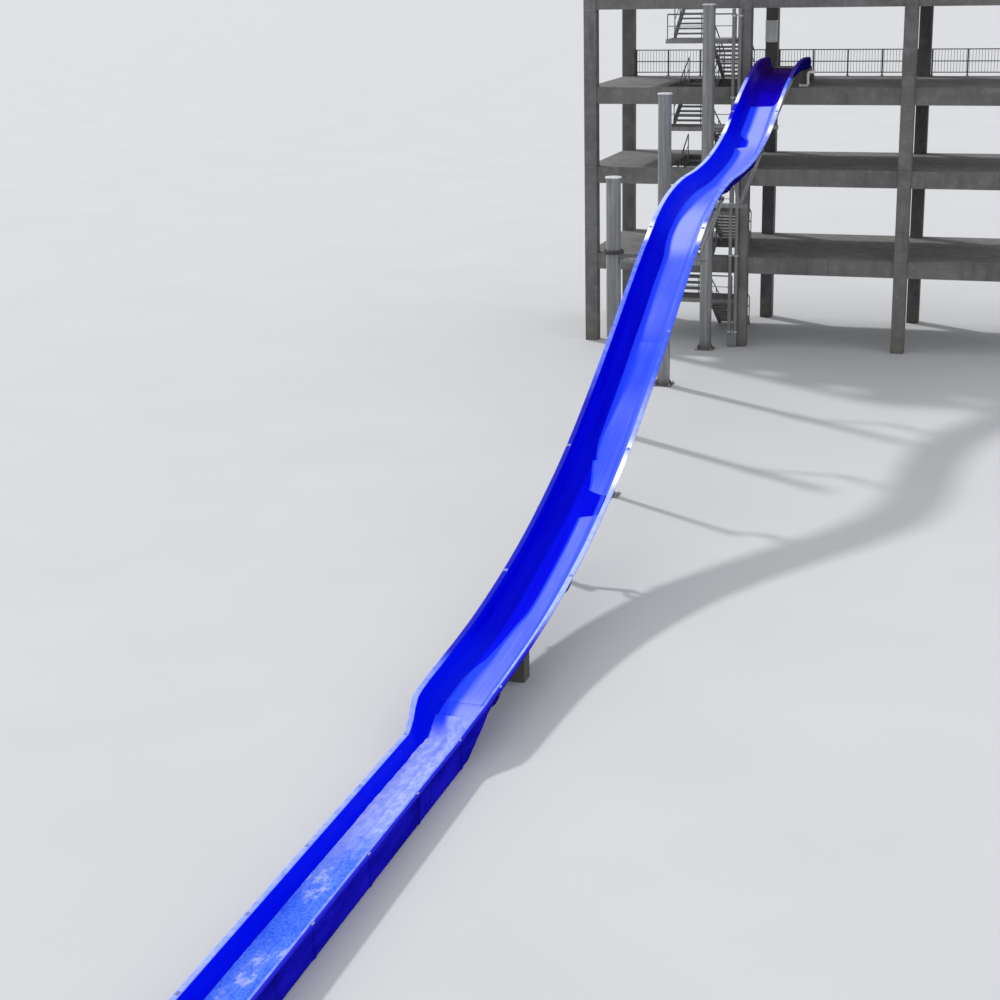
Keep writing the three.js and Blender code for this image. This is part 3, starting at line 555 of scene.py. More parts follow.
def ring_faces(count, sides):
    """The faces between that many closed rings in a row, and a cap on each end."""
    faces = []
    for r in range(count - 1):
        for i in range(sides):
            a, b = r * sides + i, r * sides + (i + 1) % sides
            faces.append((a, b, b + sides, a + sides))
    return [*faces, tuple(reversed(range(sides))), tuple((count - 1) * sides + i for i in range(sides))]


def circle(middle, side, other, radius, sides):
    angles = [2 * math.pi * i / sides for i in range(sides)]
    return [middle + (side * math.cos(a) + other * math.sin(a)) * radius for a in angles]


def mirrored(profile, length):
    """A lathe profile and its mirror image, in that length."""
    return profile + [(length - along, radius) for along, radius in reversed(profile)]


def new_object(name, data):
    made = bpy.data.objects.new(name, data)
    bpy.context.collection.objects.link(made)
    return made


class Solid:
    """Collects simple closed shapes, given in real metres, into one mesh."""

    def __init__(self):
        self.points, self.faces, self.uvs = [], [], []

    def add(self, points, faces):
        start = len(self.points)
        self.points.extend(Vector(p) for p in points)
        self.faces.extend([start + i for i in face] for face in faces)

    def box(self, low, high, turn=None, around=None):
        xs, ys, zs = zip(low, high)
        corners = [Vector((x, y, z)) for z in zs for y in ys for x in xs]
        if turn is not None:
            pivot = Vector(around)
            corners = [turn @ (c - pivot) + pivot for c in corners]
        ends = [(0, 2, 3, 1), (4, 5, 7, 6)]
        self.add(corners, [*ends, (0, 1, 5, 4), (2, 6, 7, 3), (0, 4, 6, 2), (1, 3, 7, 5)])

    def rings(self, rings):
        self.add([p for ring in rings for p in ring], ring_faces(len(rings), len(rings[0])))

    def lathe(self, centre, axis, profile, sides):
        """Turns a profile of (distance along the axis, radius) round an axis through centre."""
        axis = Vector(axis).normalized()
        side = axis.orthogonal().normalized()
        other, centre = axis.cross(side), Vector(centre)
        self.rings([circle(centre + axis * along, side, other, radius, sides) for along, radius in profile])

    def rod(self, start, end, radius, sides):
        start, end = Vector(start), Vector(end)
        self.lathe(start, end - start, [(0, radius), ((end - start).length, radius)], sides)

    def tube(self, path, radius, sides):
        """A round tube through a path, without twist."""
        path = [Vector(p) for p in path]
        side = None
        rings = []
        for i, point in enumerate(path):
            way = (path[min(i + 1, len(path) - 1)] - path[max(i - 1, 0)]).normalized()
            side = way.orthogonal() if side is None else side - way * side.dot(way)
            side.normalize()
            rings.append(circle(point, side, way.cross(side), radius, sides))
        self.rings(rings)

    def bolt(self, place, axis, across=0.03, height=0.018):
        """A hexagon head on a washer."""
        axis = Vector(axis).normalized()
        self.lathe(place, axis, [(0, across * 0.85), (0.004, across * 0.85)], 14)
        self.lathe(Vector(place) + axis * 0.004, axis, [(0, across * 0.577), (height, across * 0.577)], 6)

    def piece(self, name, material, smooth_angle=35, bevel=0.0, uv=None):
        """Makes the mesh object, riding on the frame. uv is the one place on the map for all of it."""
        if uv is not None:
            self.uvs = [uv] * len(self.points)
        mesh = bpy.data.meshes.new(name)
        mesh.from_pydata([at(*p) for p in self.points], [], self.faces)
        mesh.materials.append(MATERIAL[material])
        if self.uvs:
            layer = mesh.uv_layers.new(name="UVMap")
            for loop in mesh.loops:
                layer.data[loop.index].uv = self.uvs[loop.vertex_index]
        mesh.validate()
        mesh.shade_smooth()
        mesh.set_sharp_from_angle(angle=math.radians(smooth_angle))
        made = new_object(name, mesh)
        if bevel:
            add_bevel(made, bevel)
        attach(made, "root")
        return made


def add_bevel(made, width):
    bevel = made.modifiers.new("edges", "BEVEL")
    bevel.width = width
    bevel.segments = 2
    bevel.limit_method = "ANGLE"
    bevel.angle_limit = math.radians(40)
    bevel.harden_normals = False


def smooth_line(points, steps):
    """A smooth curve through 2D points, with that many steps between each pair."""
    ends = [points[0], *points, points[-1]]
    line = []
    for a, b, c, d in zip(ends, ends[1:], ends[2:], ends[3:]):
        for i in range(steps):
            t = i / steps
            line.append(tuple(
                q + 0.5 * ((r - p) * t + (2 * p - 5 * q + 4 * r - v) * t**2 + (3 * q - p - 3 * r + v) * t**3)
                for p, q, r, v in zip(a, b, c, d)
            ))
    return [*line, points[-1]]


def resample(line, count):
    """That many points evenly along a line."""
    lengths = [0.0]
    for a, b in zip(line, line[1:]):
        lengths.append(lengths[-1] + math.dist(a, b))
    points = []
    k = 0
    for i in range(count):
        goal = lengths[-1] * i / (count - 1)
        while k < len(lengths) - 2 and lengths[k + 1] < goal:
            k += 1
        t = (goal - lengths[k]) / max(lengths[k + 1] - lengths[k], 1e-9)
        points.append(between(line[k], line[k + 1], t))
    return points


def cut_off(line, height):
    """The part of a line of rising points that is below a height."""
    kept = []
    for a, b in zip(line, line[1:]):
        kept.append(a)
        if b[1] >= height:
            t = (height - a[1]) / max(b[1] - a[1], 1e-9)
            kept.append((a[0] + (b[0] - a[0]) * t, height))
            return kept
    return line


def between(first, second, t):
    return tuple(a + (b - a) * t for a, b in zip(first, second))


def blend_points(first, second, t):
    return [between(p, q, t) for p, q in zip(first, second)]


def spaced(start, end, count):
    """The places that share a line out into that many equal parts, both its ends too."""
    return [tuple(a + (b - a) * i / count for a, b in zip(start, end)) for i in range(count + 1)]


def flanged(outer, share):
    """The outside of an outline, pushed out by that share of a joint's flange."""
    return [(x + dx * share, h + dh * share) for (x, h), (dx, dh) in zip(outer, FLANGE_PUSH)]


IN_COUNT, OUT_COUNT = 22, 16
OUTSIDE = (1.5, 50.0)
MAP_TOP = 1.1


def half_outline(inner, outer, overhang, cut=0.0):
    """The outline's right half as (sideways, height, place round the outline)."""
    inside = resample(cut_off(smooth_line(inner, 8), -cut), IN_COUNT)
    lip_x, lip_z = inside[-1]
    inside = inside[:-1]
    points = [(x, h, i / IN_COUNT) for i, (x, h) in enumerate(inside)]
    rim = [
        (0.0, -0.014, 0.985), (0.004, -0.004, 0.993), (0.014, 0.0, 1.0), (overhang * 0.5, 0.002, 1.05),
        (overhang - 0.016, 0.0, 1.09), (overhang - 0.004, -0.004, 1.1), (overhang, -0.014, 1.11),
        (overhang, -LIP_THICK + 0.008, 1.135), (overhang - 0.008, -LIP_THICK, 1.14),
    ]
    points += [(lip_x + dx, lip_z + dz, u) for dx, dz, u in rim]
    rising = list(reversed(smooth_line(outer, 8)))
    outside = list(reversed(resample(cut_off(rising, -cut - 0.05), OUT_COUNT)))
    outside = [(x, max(h, outer[-1][1])) for x, h in outside]
    points += [(x, h, 1.16 + i / OUT_COUNT) for i, (x, h) in enumerate(outside)]
    return points


def outline(half):
    """The whole closed outline from its right half."""
    left = [(-x, h, -u) for x, h, u in reversed(half[1:-1])]
    return half + left


def off_lip(x, h, y, z, slope):
    """The point at that place in an outline, which stands square to the lip line."""
    length = math.hypot(1, slope)
    return Vector((x, y - slope / length * h, z + h / length))


def loft(name, rings):
    """A flume piece from rings of (y, lip height, slope, outline)."""
    solid = Solid()
    travelled, previous = MAP_TOP - rings[0][0], rings[0][:2]
    for y, z, slope, points in rings:
        travelled += math.dist((y, z), previous)
        previous = (y, z)
        for x, h, u in points:
            solid.points.append(off_lip(x, h, y, z, slope))
            solid.uvs.append((u, travelled))
    solid.faces = ring_faces(len(rings), len(rings[0][3]))
    made = solid.piece(name, "flume", 40)
    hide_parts(name)


def channel_outline(flange=0.0, cut=0.0, swell=0.0):
    """The channel's outline, with a joint's flange, with its walls cut down, or swollen to the tub's."""
    inner = blend_points(CHANNEL_IN, TUB_IN, swell)
    outer = blend_points(CHANNEL_OUT, TUB_OUT, swell)
    return outline(half_outline(inner, flanged(outer, flange), LIP_OVERHANG["channel"], cut))


def tub_swell(y):
    t = min(max((y - TUB_SWELL[0]) / (TUB_SWELL[1] - TUB_SWELL[0]), 0), 1)
    return t * t * (3 - 2 * t)


def flume_section(name, top, bottom, flange_top):
    """One moulded section with a bolting flange at each joined end and rounded horns at the start."""
    plain, joined = channel_outline(), channel_outline(flange=1.0)
    start, end = top - HALF_GAP, bottom + HALF_GAP
    inner_end = end + FLANGE["root"]
    if flange_top:
        inner_start = start - FLANGE["root"]
        places = [(start, joined), (start - FLANGE["thick"], joined), (inner_start, plain)]
    else:
        radius, turns = HORN["radius"], HORN["turns"]
        inner_start = start - radius
        places = []
        for i in range(turns + 1):
            angle = math.pi / 2 * i / turns
            drop = radius * (1 - max(math.sin(angle), 0.035))
            back = radius * (1 - math.cos(angle))
            places.append((start - back, channel_outline(cut=drop, swell=1.0)))
    steps = round((inner_start - inner_end) / RING_STEP)
    for i in range(1, steps):
        y = inner_start + (inner_end - inner_start) * i / steps
        places.append((y, channel_outline(swell=tub_swell(y)) if y > TUB_SWELL[0] else plain))
    places += [(inner_end, plain), (end + FLANGE["thick"], joined), (end, joined)]
    loft(name, [(y, *lip_at(y), points) for y, points in places])


for number, name in enumerate(FLUME_NAMES):
    flume_section(name, FLUME_JOINTS[number], FLUME_JOINTS[number + 1], number > 0)


def on_the_way(sizes, share):
    """A size that has that share of the run-out's, and the rest of the channel's."""
    return sizes["channel"] + (sizes["runout"] - sizes["channel"]) * share


def transition_outline(share, depth, flange=0.0):
    whole = on_the_way(DEPTH, share)
    inner = blend_points(CHANNEL_IN, RUNOUT_IN, share)
    outer = flanged(blend_points(CHANNEL_OUT, RUNOUT_OUT, share), flange)
    inner, outer = ([(x, h * depth / whole) for x, h in line] for line in (inner, outer))
    return outline(half_outline(inner, outer, on_the_way(LIP_OVERHANG, share)))


def transition():
    """Carries the flume down into the run-out, with smooth rings between the source's own."""
    top, shallow, first_step = FLUME_JOINTS[-1] - HALF_GAP, DEPTH["channel"], 0.09
    slope = lip_at(top)[1]
    knots = [(top, slope, lip_at(top)[0], 0.0, shallow), (top - first_step, slope, 1.035, 0.02, 0.52)]
    knots += TRANSITION
    joined = transition_outline(0, shallow, 1.0)
    rings = [(y, lip_at(y)[0], slope, joined) for y in (top, top - FLANGE["thick"])]
    for a, b in zip(knots, knots[1:]):
        first = FLANGE["root"] / first_step if a is knots[0] else 0.0
        for i in range(4):
            y, slope, z, *form = between(a, b, first + (1 - first) * i / 4)
            rings.append((y, z, slope, transition_outline(*form)))
    y, slope, z, *form = knots[-1]
    loft("transition", [*rings, (y, z, slope, transition_outline(*form))])


transition()
runout_outline = outline(half_outline(RUNOUT_IN, RUNOUT_OUT, LIP_OVERHANG["runout"]))
for number, (top, bottom) in enumerate(zip(RUNOUT_JOINTS, RUNOUT_JOINTS[1:]), 1):
    places = spaced((top - HALF_GAP,), (bottom + HALF_GAP,), 12)
    loft(f"runout_{number}", [(y, RUNOUT_LIP, 0.0, runout_outline) for (y,) in places])
runout_end = RUNOUT_JOINTS[-1]


def ring_point(y, x, h):
    """A point of the outline at a place along the flume, with the way along the slide there."""
    if y <= FLUME_JOINTS[-1] - 0.5:
        return Vector((x, y, RUNOUT_LIP + h)), Vector((0, -1, 0))
    z, slope = lip_at(y)
    return off_lip(x, h, y, z, slope), Vector((0, -1, -slope)).normalized()


def flange_bolts(name, joint):
    """Bolts round the outside of a joint, heads uphill and nuts downhill."""
    solid = Solid()
    half = resample(smooth_line(flanged(CHANNEL_OUT, 0.5), 8), 9)[:-1]
    for x, h in half + [(-x, h) for x, h in half] + [(0, half[-1][1])]:
        place, way = ring_point(joint, x, h)
        for heading in (way, -way):
            solid.bolt(place + heading * FLANGE["thick"], heading)
    solid.piece(name, "flange")


def seam(name, joint, inner):
    """A flattened bead across the inside of a joint, mapped to the colours of the section below it, its
    painted light and shade included.
    """
    solid = Solid()
    count, height, edge = SEAM["points"], SEAM["height"], SEAM["edge"]
    half = [(x, h, i / count) for i, (x, h) in enumerate(resample(smooth_line(inner, 8), count))][:-1]
    line = [(-x, h, -u) for x, h, u in reversed(half[1:])] + half
    for x, h, u in line:
        place, way = ring_point(joint, x, h)
        inward = Vector((-x, 0, 0.6)).normalized() if abs(x) > 0.42 else Vector(UP)
        for side, lift in ((-1, edge), (-0.5, height), (0.5, height), (1, edge)):
            solid.points.append(place + way * side * SEAM["half"] + inward * lift)
            solid.uvs.append((u, MAP_TOP - joint))
    for i in range(len(line) - 1):
        for k in range(3):
            a = i * 4 + k
            solid.faces.append([a, a + 1, a + 5, a + 4])
    solid.piece(name, "flume", 60)


def lip_plates(name, joint, lip_x, overhang):
    """The small painted plates that clamp the two lips together at a joint."""
    solid = Solid()
    for side in (-1, 1):
        place, way = ring_point(joint, side * (lip_x + overhang * 0.5), 0)
        turn = Matrix.Rotation(-math.atan2(way.z, -way.y), 3, "X")
        reach = Vector((overhang * 0.36, 0.05, 0.0))
        low, high = place - reach, place + reach + Vector((0, 0, 0.006))
        solid.box(low + Vector((0, 0, 0.001)), high, turn, place)
        for shift in (-0.028, 0.028):
            solid.bolt(place - way * shift + Vector((0, 0, 0.007)), UP, 0.02, 0.01)
    solid.piece(name, "plate")


for number, joint in enumerate(FLUME_JOINTS[1:], 1):
    flange_bolts(f"flange_bolts_{number}", joint)
    seam(f"flume_seam_{number}", joint, CHANNEL_IN)
    lip_plates(f"lip_plates_{number}", joint, CHANNEL_IN[-1][0], LIP_OVERHANG["channel"])

# The run-out's joints, with straps outside.
straps = Solid()
wall_x, strap_x = RUNOUT_OUT[0][0], RUNOUT_OUT[0][0] + STRAP["thick"]
strap_half, strap_top = STRAP["half"], RUNOUT_LIP - STRAP["below_lip"]
for number, joint in enumerate(RUNOUT_JOINTS[:-1], 1):
    seam(f"runout_seam_{number}", joint, RUNOUT_IN)
    lip_plates(f"runout_lip_plates_{number}", joint, RUNOUT_IN[-1][0], LIP_OVERHANG["runout"])
    for side in (-1, 1):
        x0, x1 = sorted((side * wall_x, side * strap_x))
        straps.box((x0, joint - strap_half, STRAP["foot"]), (x1, joint + strap_half, strap_top))
        for z in STRAP["bolts"]:
            for shift in (-0.03, 0.03):
                straps.bolt((side * strap_x, joint + shift, z), (side, 0, 0), 0.022, 0.01)
straps.piece("runout_straps", "flume", bevel=0.001, uv=OUTSIDE)

# The closed end of the run-out, with a capped top.
wall = Solid()
wall_front, wall_cap = runout_end - SEAT, RUNOUT_LIP - 0.03
wall.box((-0.61, runout_end - 0.075, 0), (0.61, wall_front, wall_cap))
wall.box((-0.625, runout_end - 0.08, wall_cap), (0.625, wall_front, RUNOUT_LIP))
end_wall = wall.piece("end_wall", "flume", bevel=0.006, uv=OUTSIDE)
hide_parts("runout_end_wall")


def transition_floor(y):
    """Height of the transition's floor, level across its middle."""
    floors = []
    for place, _, lip_z, share, depth in TRANSITION:
        middle = between(CHANNEL_IN[0], RUNOUT_IN[0], share)[1]
        floors.append((place, lip_z + middle * depth / on_the_way(DEPTH, share)))
    for (y0, z0), (y1, z1) in zip(floors, floors[1:]):
        if y >= y1:
            break
    return z0 + (z1 - z0) * (y - y0) / (y1 - y0)


def water_surface():
    """The run-out's water: a film off the transition's floor that levels out, with waves that fade."""
    solid = Solid()
    first, last = TRANSITION[0][0], runout_end + 0.002
    calm, merge, film, half = 0.25, 0.02, 0.003, 0.505
    rows, columns = 480, 34
    for r in range(rows + 1):
        y = first + (last - first) * r / rows
        far = (first - y) / (first - last)
        grown = min(max((first - y - calm) / 0.9, 0), 1)
        height = (0.012 * math.exp(-4 * far) + 0.004) * grown
        over = (transition_floor(max(y, RUNOUT_START)) + film - WATER_LEVEL) / merge
        level = WATER_LEVEL + merge * (max(over, 0) + math.log1p(math.exp(-abs(over))))
        for c in range(columns + 1):
            x = half * (2 * c / columns - 1)
            wave = math.sin(7 * y + 5 * math.sin(4.1 * x + 2.3 * y)) * 0.4
            wave += math.sin(13 * x + 5.3 * y + 3 * math.sin(3.7 * y - 6 * x)) * 0.35
            wave += math.sin(27 * x - 19 * y + 4 * math.sin(5.2 * y + 7 * x)) * 0.25
            solid.points.append(Vector((x, y, level + height * wave)))
            solid.uvs.append((x, first - y))
    for r in range(rows):
        for c in range(columns):
            a = r * (columns + 1) + c
            solid.faces.append([a, a + columns + 1, a + columns + 2, a + 1])
    solid.piece("runout_water", "water", 80)


water_surface()


def dress(name, kind, bevel=0.0):
    """Gives a node that keeps its CAD shape its material and, with a bevel, softened edges."""
    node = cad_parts[name]
    node.data.materials.clear()
    node.data.materials.append(MATERIAL[kind])
    if bevel:
        add_bevel(node, bevel)


for number in range(1, 5):
    dress(f"column_front_{number}", "concrete", 0.012)
    dress(f"column_rear_{number}", "concrete", 0.012)
    dress(f"floor_{number}", "concrete")
    dress(f"stair_{number}_lower", "stair")
    dress(f"stair_{number}_upper", "stair")
# The launch platform and the pedestal take the concrete painted dark as shade.
dress("launch_platform", "concrete_in_shade")
dress("pedestal", "concrete_in_shade")
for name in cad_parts:
    if "rail_" in name:
        dress(name, "rail", 0.003)


def base_plate(steel, bolts, x, y, half, thick, spread, stud, across, height):
    """A square plate on the ground, held down by four studs with nuts."""
    steel.box((x - half, y - half, 0), (x + half, y + half, thick))
    for dx in (-spread, spread):
        for dy in (-spread, spread):
            bolts.rod((x + dx, y + dy, thick), (x + dx, y + dy, 3 * thick), stud, 10)
            bolts.bolt((x + dx, y + dy, thick), UP, across, height)


def pole(name, x, y, top):
    """A tall tube on a bolted base plate, with a dark flanged joint half way and a cap painted pale as
    painted sunlight on its top.
    """
    solid, flange, lid, bolts = Solid(), Solid(), Solid(), Solid()
    ring, high, wide = POLE["ring_at"], POLE["ring_height"], POLE["ring"]
    radius, cap = POLE["radius"], POLE["cap"]
    weld = mirrored([(0, radius), (0.005, radius + 0.006)], 0.03)
    profile = [(0.0, radius), *((POLE["weld_at"] + rise, r) for rise, r in weld), (top - 0.03, radius)]
    half = [(-0.004, radius - 0.01), (0, radius + 0.012), (0, wide), (0.046, wide), (0.048, wide - 0.01)]
    joint = [(ring + rise, r) for rise, r in mirrored(half, high)]
    cover = [(top - 0.05, radius - 0.01), (top - 0.05, cap), (top - 0.012, cap), (top, cap - 0.02)]
    for part, line in ((solid, profile), (flange, joint), (lid, cover)):
        part.lathe((x, y, 0), UP, line, 48)
    base_plate(solid, bolts, x, y, **POLE_BASE)
    foot, root, plate = Vector((x, y, 0)), radius - 0.01, POLE_BASE["thick"]
    reach, edge, thin = GUSSET["reach"], GUSSET["edge"], GUSSET["half"]
    corners = [(root, plate), (reach, plate), (reach, edge), (root, GUSSET["top"])]
    sides = [(0, 1, 2, 3), (7, 6, 5, 4)]
    for i in range(8):
        turn = Matrix.Rotation(math.pi / 4 * i, 3, "Z")
        points = [turn @ Vector((r, side, z)) + foot for side in (-thin, thin) for r, z in corners]
        solid.add(points, [*sides, (0, 4, 5, 1), (1, 5, 6, 2), (2, 6, 7, 3), (3, 7, 4, 0)])
    made = solid.piece(f"{name}_steel", "steel")
    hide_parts(name)
    out = POLE["bolt_circle"]
    for i in range(12):
        angle = math.pi / 6 * (i + 0.5)
        place = Vector((x + out * math.cos(angle), y + out * math.sin(angle), ring))
        flange.bolt(place + Vector((0, 0, high)), UP, 0.034, 0.022)
        flange.bolt(place, (0, 0, -1), 0.034, 0.022)
    bolts.piece(f"{name}_bolts", "bolt")
    flange.piece(f"{name}_flange", "flange")
    lid.piece(f"{name}_cap", "cap")


for entry in POLES:
    pole(entry["name"], entry["x"], entry["y"], entry["top"])


def underside(y):
    """Height and slope of the flume's underside over a support."""
    z, slope = lip_at(y)
    return z - DEPTH["channel"] * math.hypot(1, slope), slope


def support(solid, bolts, y, root, z):
    """A level arm with two struts up to the crossbar that the channel lies in, with its plates and welds."""
    bottom, slope = underside(y)
    seat = bottom - CRADLE["height"] - 0.02
    reach = CRADLE["half"] - ARM_RADIUS
    end, strut, face = ARM["end"], ARM["strut"], root + ARM_PLATE["thick"]
    solid.rod((root, y, z), (end, y, z), ARM_RADIUS, 28)
    solid.lathe((end, y, z), ACROSS, [(0, ARM_RADIUS), (0.004, ARM_RADIUS - 0.012), (0.006, 0.01)], 28)
    wide, rise = ARM_PLATE["half"], ARM_PLATE["rise"]
    solid.box((root, y - wide, z - rise), (face, y + wide, z + rise))
    solid.lathe((face, y, z), ACROSS, [(0, ARM_RADIUS + 0.014), (0.014, ARM_RADIUS + 0.001)], 28)
    for dy in (-0.085, 0.085):
        for dz in (-0.11, 0.11):
            bolts.bolt((face, y + dy, z + dz), ACROSS, 0.028, 0.018)
    for side in (-1, 1):
        foot, head = Vector((ARM["struts_from"], y, z)), Vector((side * reach, y, seat))
        way = (head - foot).normalized()
        solid.rod(foot, head, strut, 24)
        solid.lathe(foot + way * 0.09, way, [(0, strut + 0.012), (0.02, strut + 0.001)], 24)
        solid.box(head - Vector((0.075, 0.075, 0.008)), head + Vector((0.075, 0.075, 0.016)))
    turn = Matrix.Rotation(math.atan(slope), 3, "X")
    middle = Vector((0, y, bottom - 0.001))
    half, deep, tall, thick = CRADLE["half"], CRADLE["width"] / 2, CRADLE["height"], CRADLE["thick"]

    def crossbar_box(low, high):
        solid.box(middle + Vector(low), middle + Vector(high), turn, middle)

    crossbar_box((-half, -deep, -thick), (half, deep, 0))
    crossbar_box((-half, -deep, -tall), (half, deep, thick - tall))
    crossbar_box((-half, -0.01, -tall), (half, 0.01, 0))
    for i in range(-CRADLE["ribs"], CRADLE["ribs"] + 1):
        x = i * half / 3.4
        crossbar_box((x - 0.006, 0.005 - deep, -tall), (x + 0.006, deep - 0.005, 0))
        for dy in (0.03 - deep, deep - 0.03):
            place = middle + turn @ Vector((x + 0.05, dy, -thick))
            bolts.bolt(place, turn @ Vector((0, 0, -1)), 0.024, 0.014)


for entry in POLES:
    steel, bolts = Solid(), Solid()
    y = entry["y"]
    support(steel, bolts, y, entry["x"] + POLE["radius"] - 0.004, underside(y)[0] - entry["arm"])
    made = steel.piece(f"{entry['name']}_arm", "steel")
    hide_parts(f"{entry['name']}_bracket")
    bolts.piece(f"{entry['name']}_arm_bolts", "bolt")

for entry in POSTS:
    steel, bolts = Solid(), Solid()
    y = entry["y"]
    arm = underside(y)[0] - entry["drop"]
    support(steel, bolts, y, POST_X + POST_RADIUS - 0.003, arm)
    top = arm + 0.3
    profile = [(0, POST_RADIUS), (top - 0.02, POST_RADIUS), (top, POST_RADIUS - 0.02)]
    steel.lathe((POST_X, y, 0), UP, profile, 36)
    base_plate(steel, bolts, POST_X, y, **POST_BASE)
    made = steel.piece(f"{entry['name']}_steel", "steel")
    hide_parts(entry["name"])
    bolts.piece(f"{entry['name']}_bolts", "bolt")


def rail_details(name, start, end, level):
    """Balusters and foot plates of one railing panel, whose posts and bars are the CAD's."""
    length = max(b - a for a, b in zip(start, end))
    solid = Solid()
    half, far, plate = RAIL_FOOT["half"], RAIL_FOOT["bolt"], level + RAIL_FOOT["thick"]
    for x, y in spaced(start, end, round(length / RAIL["spacing"])):
        solid.box((x - half, y - half, level), (x + half, y + half, plate))
        for dx, dy in ((-far, -far), (far, far), (-far, far), (far, -far)):
            solid.bolt((x + dx, y + dy, plate), UP, 0.018, 0.01)
    low, high = level + RAIL["low_bar"], level + RAIL["height"] - RAIL["under_top"]
    for x, y in spaced(start, end, round(length / BALUSTER["spacing"]))[1:-1]:
        solid.rod((x, y, low), (x, y, high), BALUSTER["radius"], 8)
    solid.piece(f"{name}_balusters", "rail")


rail_x0, rail_x1 = COLUMN_X[0] - COLUMN / 2 + RAIL["inset"], COLUMN_X[3] + COLUMN / 2 - RAIL["inset"]
rail_y0, rail_y1 = COLUMN_Y[0] - COLUMN / 2 + RAIL["inset"], COLUMN_Y[1] + COLUMN / 2 - RAIL["inset"]
for name, y in (("top_rail_front", rail_y0), ("top_rail_rear", rail_y1)):
    rail_details(name, (rail_x0 + RAIL["corner"], y), (rail_x1 - RAIL["corner"], y), LEVELS[3])
for name, x in (("top_rail_left", rail_x0), ("top_rail_right", rail_x1)):
    rail_details(name, (x, rail_y0), (x, rail_y1), LEVELS[3])
for number, (left, right) in enumerate(zip(COLUMN_X, COLUMN_X[1:]), 1):
    ends = (left + COLUMN / 2 + 0.05, rail_y1), (right - COLUMN / 2 - 0.05, rail_y1)
    rail_details(f"launch_rail_{number}", *ends, LEVELS[2])


def flight_details(rails, strips, z0, z1, y_from, way, x_low, x_high):
    """Handrails on both sides of a flight and a worn metal strip on each nosing."""
    run = WELL["y1"] - WELL["y0"] - LANDING
    going = run / (RISERS - 1)
    rise = (z1 - z0) / RISERS
    for i in range(1, RISERS):
        front = y_from + way * (going * (i - 1) - 0.03)
        ends = sorted((front + way * 0.004, front + way * 0.06))
        z = z0 + rise * i
        strips.box((x_low + 0.1, ends[0], z - 0.002), (x_high - 0.1, ends[1], z + 0.005))
    for x in (x_low + 0.035, x_high - 0.035):
        places = [(y_from + way * going * k, z0 + rise * (k + 1)) for k in (0, 3, 6, 8.6)]
        for y, z in places:
            rails.rod((x, y, z - 0.02), (x, y, z + 0.95), 0.02, 12)
        for lift, radius in HANDRAILS:
            rails.tube([(x, y, z + lift) for y, z in places], radius, 14)


well_middle = (WELL["x0"] + WELL["x1"]) / 2
landing_back = WELL["y0"] + LANDING
for number, level in enumerate(LEVELS, 1):
    below = LEVELS[number - 2] if number > 1 else 0.0
    half = (below + level) / 2
    rails, strips = Solid(), Solid()
    flight_details(rails, strips, below, half, WELL["y1"], -1, well_middle + 0.06, WELL["x1"] - 0.06)
    flight_details(rails, strips, half, level, landing_back, 1, WELL["x0"] + 0.06, well_middle - 0.06)
    x0, x1, y = WELL["x0"] + 0.08, WELL["x1"] - 0.08, WELL["y0"] + 0.06
    for lift, radius in HANDRAILS:
        rails.rod((x0, y, half + lift), (x1, y, half + lift), radius, 14)
    for x in (x0, well_middle, x1):
        rails.rod((x, y, half - 0.01), (x, y, half + 0.95), 0.02, 12)
    rails.piece(f"stair_{number}_handrails", "rail")
    strips.piece(f"stair_{number}_nosings", "bolt", bevel=0.001)


def corner_path(points, radius):
    """A path through points with its corners rounded."""
    points = [Vector(p) for p in points]
    path, steps = [points[0]], 7
    for a, b, c in zip(points, points[1:], points[2:]):
        before, after = b + (a - b).normalized() * radius, b + (c - b).normalized() * radius
        for i in range(steps + 1):
            t = i / steps
            path.append(before * (1 - t) ** 2 + b * 2 * t * (1 - t) + after * t**2)
    return [*path, points[-1]]


# Feed pipe beside the start tub, with sockets at its elbows.
deck = LEVELS[2]
feed_x, feed_y, feed_z = PLATFORM["half"] + SEAT, FEED["place"], deck + PIPE_RADIUS + SEAT
bend_x, feed_top, feed_end = feed_x + FEED["run"], feed_z + FEED["rise"], feed_x + FEED["reach"]
feed = Solid()
corners = [
    (feed_x, feed_y, feed_z), (bend_x, feed_y, feed_z),
    (bend_x, feed_y, feed_top), (feed_end, feed_y, feed_top),
]
feed.tube(corner_path(corners, FEED["bend"]), PIPE_RADIUS, 28)
socket = mirrored([(0, PIPE_RADIUS), (0.003, PIPE_RADIUS + 0.009)], 0.053)
for place, axis in (
    ((bend_x - 0.15, feed_y, feed_z), ACROSS), ((bend_x, feed_y, feed_z + 0.1), UP),
    ((bend_x, feed_y, feed_top - 0.15), UP), ((bend_x + 0.1, feed_y, feed_top), ACROSS),
):
    feed.lathe(place, axis, socket, 28)
wall_flange = [(0, PIPE_RADIUS - 0.005), (0, 0.098), (0.018, 0.098), (0.02, PIPE_RADIUS - 0.005)]
feed.lathe((feed_x + 0.002, feed_y, feed_z), ACROSS, wall_flange, 28)
feed_made = feed.piece("feed_pipe_run", "pipe")
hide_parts("feed_pipe")

